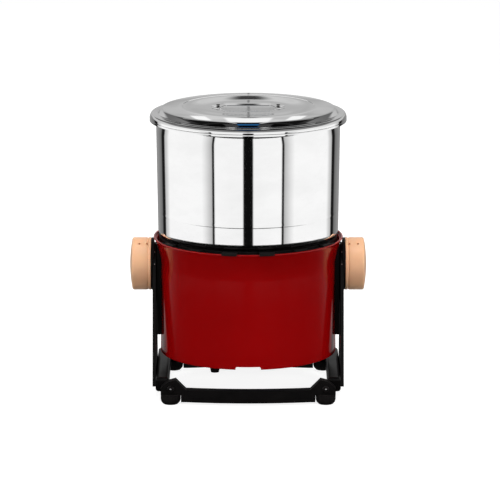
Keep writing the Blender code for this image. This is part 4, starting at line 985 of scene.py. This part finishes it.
def shell_profile():
    """Rolled rim, flare, straight wall, slightly proud foot, and the same again inside."""
    lip_r, lip_z = RIM_R - RIM_LIP, RIM_Z - RIM_LIP
    inner_r, foot_r = SHELL_R - SHELL_WALL, SHELL_R + SHELL_FOOT_PROUD
    foot_z = SHELL_BOTTOM + SHELL_FOOT_R
    flare = [lip_z - (FLARE_HEIGHT - RIM_LIP) * i / FLARE_STEPS for i in range(1, FLARE_STEPS + 1)]
    profile = arc(lip_r, lip_z, RIM_LIP, 90, 0, 8)
    profile += [(shell_radius(z), z) for z in flare]
    profile += [(SHELL_R, z) for z in SHELL_RINGS]
    profile += [(foot_r, SHELL_BOTTOM + SHELL_FOOT_HEIGHT), (foot_r, foot_z)]
    profile += arc(foot_r - SHELL_FOOT_R, foot_z, SHELL_FOOT_R, 0, -90, 5)
    profile += [(inner_r, SHELL_BOTTOM)]
    profile += [(inner_r, z) for z in reversed(SHELL_RINGS)]
    profile += [(shell_radius(z) - SHELL_WALL, z) for z in reversed(flare[:INNER_FLARE_STEPS])]
    profile += [(RIM_R - 2 * RIM_LIP, z) for z in (RIM_Z - RIM_INNER_DEPTH, lip_z)]
    return profile + arc(lip_r, lip_z, RIM_LIP, 180, 96, 6)


def make_shell():
    """Housing shell with its trunnion bore, front notch and switch window."""
    shell = new_object("red_shell_skin", lathe(shell_profile()))
    bore = plug_shape(TRUNNION_R, BORE_REACH, -BORE_REACH, BORE_STEPS)
    bore.transform(along_pivot(1))
    notch = box_shape(
        (-NOTCH_HALF, NOTCH_Y[0], SHELL_BOTTOM - CUT_OVERRUN),
        (NOTCH_HALF, NOTCH_Y[1], SHELL_BOTTOM + NOTCH_HEIGHT),
    )
    opening = box_shape(
        (-SWITCH_HALF_WIDTH, SWITCH_Y[0], SWITCH_Z - SWITCH_HALF_HEIGHT),
        (SWITCH_HALF_WIDTH, SWITCH_Y[1], SWITCH_Z + SWITCH_HALF_HEIGHT),
    )
    bore_cutter = new_object("cut_bore", bore)
    notch_cutter = bevelled(new_object("cut_notch", notch), NOTCH_CORNER, segments=4)
    window_cutter = new_object("cut_window", opening)
    cut(shell, [bore_cutter, notch_cutter, window_cutter])
    return dress(shell, RED, "housing", "red_shell")


# Deck edge: the black upstand inside the rim and the tabs hooked over it


def make_upstand():
    """Thin black wall just inside the rim, one length in front and one at the rear."""
    heights = [RIM_Z - UPSTAND_DEPTH - UPSTAND_PITCH * i for i in range(UPSTAND_RINGS)]
    inside = [(shell_radius(z) - SHELL_WALL - UPSTAND_GAP, z) for z in heights]
    profile = lifted(UPSTAND_TOP, RIM_Z) + inside
    profile += [(r - UPSTAND_SHEET, z) for r, z in reversed(inside)]
    profile += lifted(UPSTAND_END, RIM_Z)
    for name, middle in (("front", -pi / 2), ("rear", pi / 2)):
        ring = swept_round(profile, middle, UPSTAND_HALF_ANGLE, UPSTAND_STEPS)
        dress(new_object(f"deck_upstand_{name}", ring, smooth_angle=40.0), BLACK_PLASTIC, "housing")


def make_tabs():
    hook = lifted(TAB_HOOK, RIM_Z)
    for i, bearing in enumerate(TAB_BEARINGS):
        tab = swept_round(hook, radians(bearing), TAB_HALF_ANGLE, TAB_STEPS)
        dress(new_object(f"deck_tab_{i}", tab, smooth_angle=30.0), BLACK_PLASTIC, "housing")


# Friction discs, and bright pins in the arms' heads that stand in for highlights on their edges: painted
# highlights


def make_washer(side, hand):
    """Black friction disc between arm and knob, its upper lip over the arm's head, and two bright pins
    that stand in for highlights on the head's edge: painted highlights.
    """
    place = along_pivot(side)
    turned(f"friction_disc_{hand}", DISC, BLACK_PLASTIC, "stand", steps=DISC_STEPS, place=place)
    lip = swept_round(LIP, pi if side > 0 else 0.0, LIP_HALF_ANGLE, LIP_STEPS)
    over = new_object(f"friction_lip_{hand}", lip, smooth_angle=30.0)
    over.data.transform(place)
    dress(over, BLACK_PLASTIC, "stand")
    # Bright pins that stand in for highlights on the arm's head edge: painted highlights
    for name, angle in PIN_LEANS:
        axis = (0.0, -cos(radians(angle)), sin(radians(angle)))
        at = (side * PIN_X, PIN_RING * axis[1], PIVOT_Z + PIN_RING * axis[2])
        make_rivet(f"arm_glint_pin_{name}_{hand}", at, PIN_R, PIN_HEIGHT, HIGHLIGHT_ZINC, "stand", axis)


# Clamp knobs


def knob_profile(inner, outer, radius):
    """Domed face, rounded edge, side with a groove by the collar, and the socket's floor."""
    rim = radius - KNOB_EDGE
    groove, start = inner + GROOVE_AT, inner + KNOB_START
    profile = []
    for i in range(DOME_STEPS):
        share = i / DOME_STEPS
        profile.append((rim * share, outer - KNOB_DOME * share**2))
    profile += arc(rim, outer - KNOB_DOME - KNOB_EDGE, KNOB_EDGE, 80, 0, 8)
    profile += [(radius, outer - depth) for depth in KNOB_SIDE_RINGS]
    profile.append((radius, groove + GROOVE_HALF))
    profile += arc(radius, groove, GROOVE_R, 78, 282, 8)[1:-1]
    profile += [(radius, groove - GROOVE_HALF), (radius, start + KNOB_CORNER)]
    profile += arc(radius - KNOB_CORNER, start + KNOB_CORNER, KNOB_CORNER, 0, -90, 4)
    floor = inner + SOCKET_DEPTH
    return profile + [(TRUNNION_R, start), (TRUNNION_R, floor), (0.0, floor)]


def make_knob(side, hand):
    """Big clamp knob with its two vent holes."""
    node_name = f"clamp_knob_{hand}"
    lo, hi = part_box(node_name)
    inner = min(abs(lo.x), abs(hi.x))
    outer = max(abs(lo.x), abs(hi.x))
    radius = (hi.z - lo.z) / 2
    shape = lathe(knob_profile(inner, outer, radius), KNOB_STEPS, closed=False)
    knob = new_object(f"knob_{hand}_skin", shape)
    knob.data.transform(along_pivot(side))
    axis = (0.0, -cos(VENT_LEAN), sin(VENT_LEAN))
    cutters = []
    for offset in VENT_OFFSETS[hand]:
        hole = plug_shape(VENT_R, VENT_OVERRUN, -VENT_DEPTH, HOLE_STEPS)
        spot = (side * (inner + offset), radius * axis[1], PIVOT_Z + radius * axis[2])
        hole.transform(Matrix.Translation(spot) @ facing(axis))
        cutters.append(new_object(f"cut_hole_{hand}_{offset}", hole))
    cut(knob, cutters)
    return dress(knob, CREAM, f"knob_{hand}", node_name)


# Stage: floor, lamps and the tent of reflections that the steel shows


def stage_turn(tree):
    """How far round from the front a point of the stage is, 0 to 1, and its height."""
    x, y, z = position(tree)
    angle = maths(tree, "ARCTAN2", x, product(tree, y, -1.0))
    return maths(tree, "DIVIDE", maths(tree, "ABSOLUTE", angle), pi), z


def half_turns(degrees):
    """A bearing as a share of the half turn, as stage_turn gives it."""
    return degrees / 180.0


def bearing_ramp(tree, turn, band):
    return ramp(tree, turn, [(half_turns(degrees), tone) for degrees, tone in band])


def wall_material():
    """Studio tent: pale panels, narrow black stands, darker behind and in front above."""
    material, tree, glow = new_glow("studio_wall")
    turn, z = stage_turn(tree)

    def bearing(step):
        """Smooth step between two bearings from the front, in degrees."""
        return between(tree, turn, half_turns(step[0]), half_turns(step[1]))

    def height(step):
        """Smooth step between two heights."""
        return between(tree, z, *step)

    def toned(tone, amount, *masks):
        """The tone times an amount, where all the masks are 1."""
        return mixed_tone(tree, product(tree, *masks), tone, scaled(tree, tone, amount))

    low_band = bearing_ramp(tree, turn, LOW_BAND)
    high_band = bearing_ramp(tree, turn, HIGH_BAND)
    flange_band = bearing_ramp(tree, turn, FLANGE_BAND)

    # The broad panels: low, high and, for the lid's flange, highest
    patches = between(tree, noise(tree, coordinates(tree), 7.0, 2.0), 0.35, 0.65)
    high_tone = mixed_tone(tree, patches, scaled(tree, high_band, 0.78), high_band)
    low_rear = product(tree, bearing(LOW_REAR), height(LOW_REAR_Z))
    low_tone = mixed_tone(tree, low_rear, low_band, high_band)
    front = maths(tree, "SUBTRACT", 1.0, bearing(REAR_HALF))
    upper_tone = mixed_tone(tree, product(tree, height(FLANGE_Z), front), high_tone, flange_band)
    tone = mixed_tone(tree, height(UPPER_Z), low_tone, upper_tone)

    # The back wall is paler above and a little darker below, and all in front of it is shaded high up
    behind = bearing(BACK)
    tone = toned(tone, 1.22, behind, height(BACK_PALER_Z))
    tone = toned(tone, 0.90, behind, window(tree, z, *BACK_DARKER_Z))
    tone = toned(tone, 0.25, bearing(SHADE), height(SHADE_Z))

    # A dark blotch and a thin pole straight behind
    blotch = product(tree, bearing(BLOTCH), window(tree, z, *BLOTCH_Z))
    pole = product(tree, bearing(POLE), height(POLE_Z), 0.6)
    dark = maths(tree, "MAXIMUM", blotch, pole)
    tone = mixed_tone(tree, dark, tone, scaled(tree, high_band, 0.10))

    # A bright pane above them and a smaller glint to each side
    tone = toned(tone, 8.0, bearing(PANE), height(PANE_Z))
    tone = toned(tone, 6.0, *[bearing(step) for step in GLINT], window(tree, z, *GLINT_Z))
    link(tree, tone, glow.inputs["Color"])
    return material


def ceiling_material():
    """Dark roof with two long softboxes, a blue patch in front and black beside and before it."""
    material, tree, glow = new_glow("studio_ceiling")
    x, y, _ = position(tree)
    aside = maths(tree, "ABSOLUTE", x)
    box = product(tree, window(tree, aside, *ROOF_BOX_X), window(tree, y, *ROOF_BOX_Y))
    centre = between(tree, aside, *ROOF_CENTRE_X)
    before = between(tree, y, *ROOF_FRONT_Y)
    blue = product(tree, centre, between(tree, y, *ROOF_BLUE_Y), before)
    black = maths(tree, "MAXIMUM", window(tree, aside, *ROOF_SIDE_X), centre)
    black = product(tree, black, before)
    along = product(tree, maths(tree, "ADD", y, 1.0), 0.5)
    tone = ramp(tree, along, ROOF_ALONG)
    for mask, tones in ((black, ROOF_BLACKS), (blue, ROOF_BLUES), (box, ROOF_WHITES)):
        tone = mixed_tone(tree, mask, tone, two_tones(tree, y, 0.0, 1.0, tones))
    link(tree, tone, glow.inputs["Color"])
    return material


def skirt_material():
    """Dark cloth on the table in front, pale at the sides and behind."""
    material, tree, glow = new_glow("studio_skirt")
    link(tree, bearing_ramp(tree, stage_turn(tree)[0], SKIRT_BAND), glow.inputs["Color"])
    return material


def only_reflected(obj):
    obj.visible_camera = False
    obj.visible_diffuse = False
    obj.visible_shadow = False
    obj.visible_transmission = False
    obj.visible_volume_scatter = False
    obj.visible_glossy = True


def make_tent():
    for name, profile, material in (
        ("studio_wall", TENT_WALL, wall_material()),
        ("studio_roof", TENT_ROOF, ceiling_material()),
        ("studio_skirt", TENT_SKIRT, skirt_material()),
    ):
        obj = new_object(name, lathe(profile, TENT_STEPS, closed=False))
        obj.data.materials.append(material)
        only_reflected(obj)


def background_rays(tree):
    """1 for the rays that show the background: the camera's, and those off metal and glass."""
    path = node(tree, "ShaderNodeLightPath")
    shown = maths(tree, "MAXIMUM", path.outputs["Is Camera Ray"], path.outputs["Is Glossy Ray"])
    return maths(tree, "MAXIMUM", shown, path.outputs["Is Transmission Ray"])


def floor_material():
    """White floor that the camera sees as white, with the object's soft shadow on it."""
    material, tree, shader = new_material("floor")
    cloud = noise(tree, coordinates(tree), 3.0, 2.0)
    link(tree, two_tones(tree, cloud, 0.3, 0.7, (0.34, 0.36)), shader.inputs["Base Color"])
    shader.inputs["Roughness"].default_value = 0.9
    shader.inputs["Specular IOR Level"].default_value = 0.1
    lift = node(tree, "ShaderNodeEmission")
    lift.inputs["Color"].default_value = (*WHITE, 1.0)
    lift.inputs["Strength"].default_value = FLOOR_GLOW
    clear = node(tree, "ShaderNodeEmission")
    clear.inputs["Strength"].default_value = 0.0
    seen = node(tree, "ShaderNodeMixShader")
    link(tree, background_rays(tree), seen.inputs["Fac"])
    link(tree, clear.outputs["Emission"], seen.inputs[1])
    link(tree, lift.outputs["Emission"], seen.inputs[2])
    added = node(tree, "ShaderNodeAddShader")
    output = [n for n in tree.nodes if n.bl_idname == "ShaderNodeOutputMaterial"][0]
    link(tree, shader.outputs["BSDF"], added.inputs[0])
    link(tree, seen.outputs["Shader"], added.inputs[1])
    link(tree, added.outputs["Shader"], output.inputs["Surface"])
    return material


def make_floor():
    shape = bmesh.new()
    bmesh.ops.create_grid(shape, x_segments=8, y_segments=8, size=FLOOR_HALF)
    floor = new_object("floor", shape)
    floor.data.materials.append(floor_material())


def make_world():
    """White where it is seen, faint as a light."""
    world = bpy.data.worlds.new("studio")
    bpy.context.scene.world = world
    tree = new_tree(world)
    output = tree.nodes.new("ShaderNodeOutputWorld")
    mixed = tree.nodes.new("ShaderNodeMixShader")
    link(tree, background_rays(tree), mixed.inputs["Fac"])
    for socket, strength in ((1, WORLD_LIGHT), (2, WORLD_SEEN)):
        background = tree.nodes.new("ShaderNodeBackground")
        background.inputs["Color"].default_value = (*WHITE, 1.0)
        background.inputs["Strength"].default_value = strength
        link(tree, background.outputs["Background"], mixed.inputs[socket])
    link(tree, mixed.outputs["Shader"], output.inputs["Surface"])


def make_lamps():
    """Square area lamps that light without showing in the steel."""
    for name, at, size, power in LAMPS:
        data = bpy.data.lights.new(name, "AREA")
        data.shape = "RECTANGLE"
        data.size = size
        data.size_y = size
        data.energy = power
        lamp = bpy.data.objects.new(name, data)
        lamp.location = at
        lamp.rotation_euler = (Vector(LAMP_AIM) - Vector(at)).to_track_quat("-Z", "Y").to_euler()
        lamp.visible_glossy = False
        lamp.visible_camera = False
        bpy.context.scene.collection.objects.link(lamp)


def make_camera():
    """Long lens that puts the pivot at its pixel of the photograph."""
    data = bpy.data.cameras.new("camera")
    data.sensor_width = SENSOR
    data.lens = SENSOR * CAM_DISTANCE / (IMAGE * CAM_PIXEL)
    data.clip_start, data.clip_end = CAM_NEAR, CAM_FAR
    camera = bpy.data.objects.new("camera", data)
    bpy.context.scene.collection.objects.link(camera)
    back = Vector((0.0, -cos(CAM_ELEVATION), sin(CAM_ELEVATION)))
    up = Vector((0.0, sin(CAM_ELEVATION), cos(CAM_ELEVATION)))
    middle = Vector((0.0, 0.0, PIVOT_Z))
    middle += Vector((1.0, 0.0, 0.0)) * (IMAGE / 2 - CAM_CENTRE_X) * CAM_PIXEL
    middle += up * (CAM_CENTRE_Y - IMAGE / 2) * CAM_PIXEL
    camera.location = middle + back * CAM_DISTANCE
    camera.rotation_euler = (-back).to_track_quat("-Z", "Y").to_euler()
    bpy.context.scene.camera = camera


finish_cad_nodes()
make_drum()
make_lid()
make_strap()
make_shell()
for side, hand in SIDES:
    make_washer(side, hand)
    make_knob(side, hand)
make_upstand()
make_tabs()
make_bolt_dots()
make_tent()
make_floor()
make_world()
make_lamps()
make_camera()

bpy.context.scene.view_settings.view_transform = "Standard"
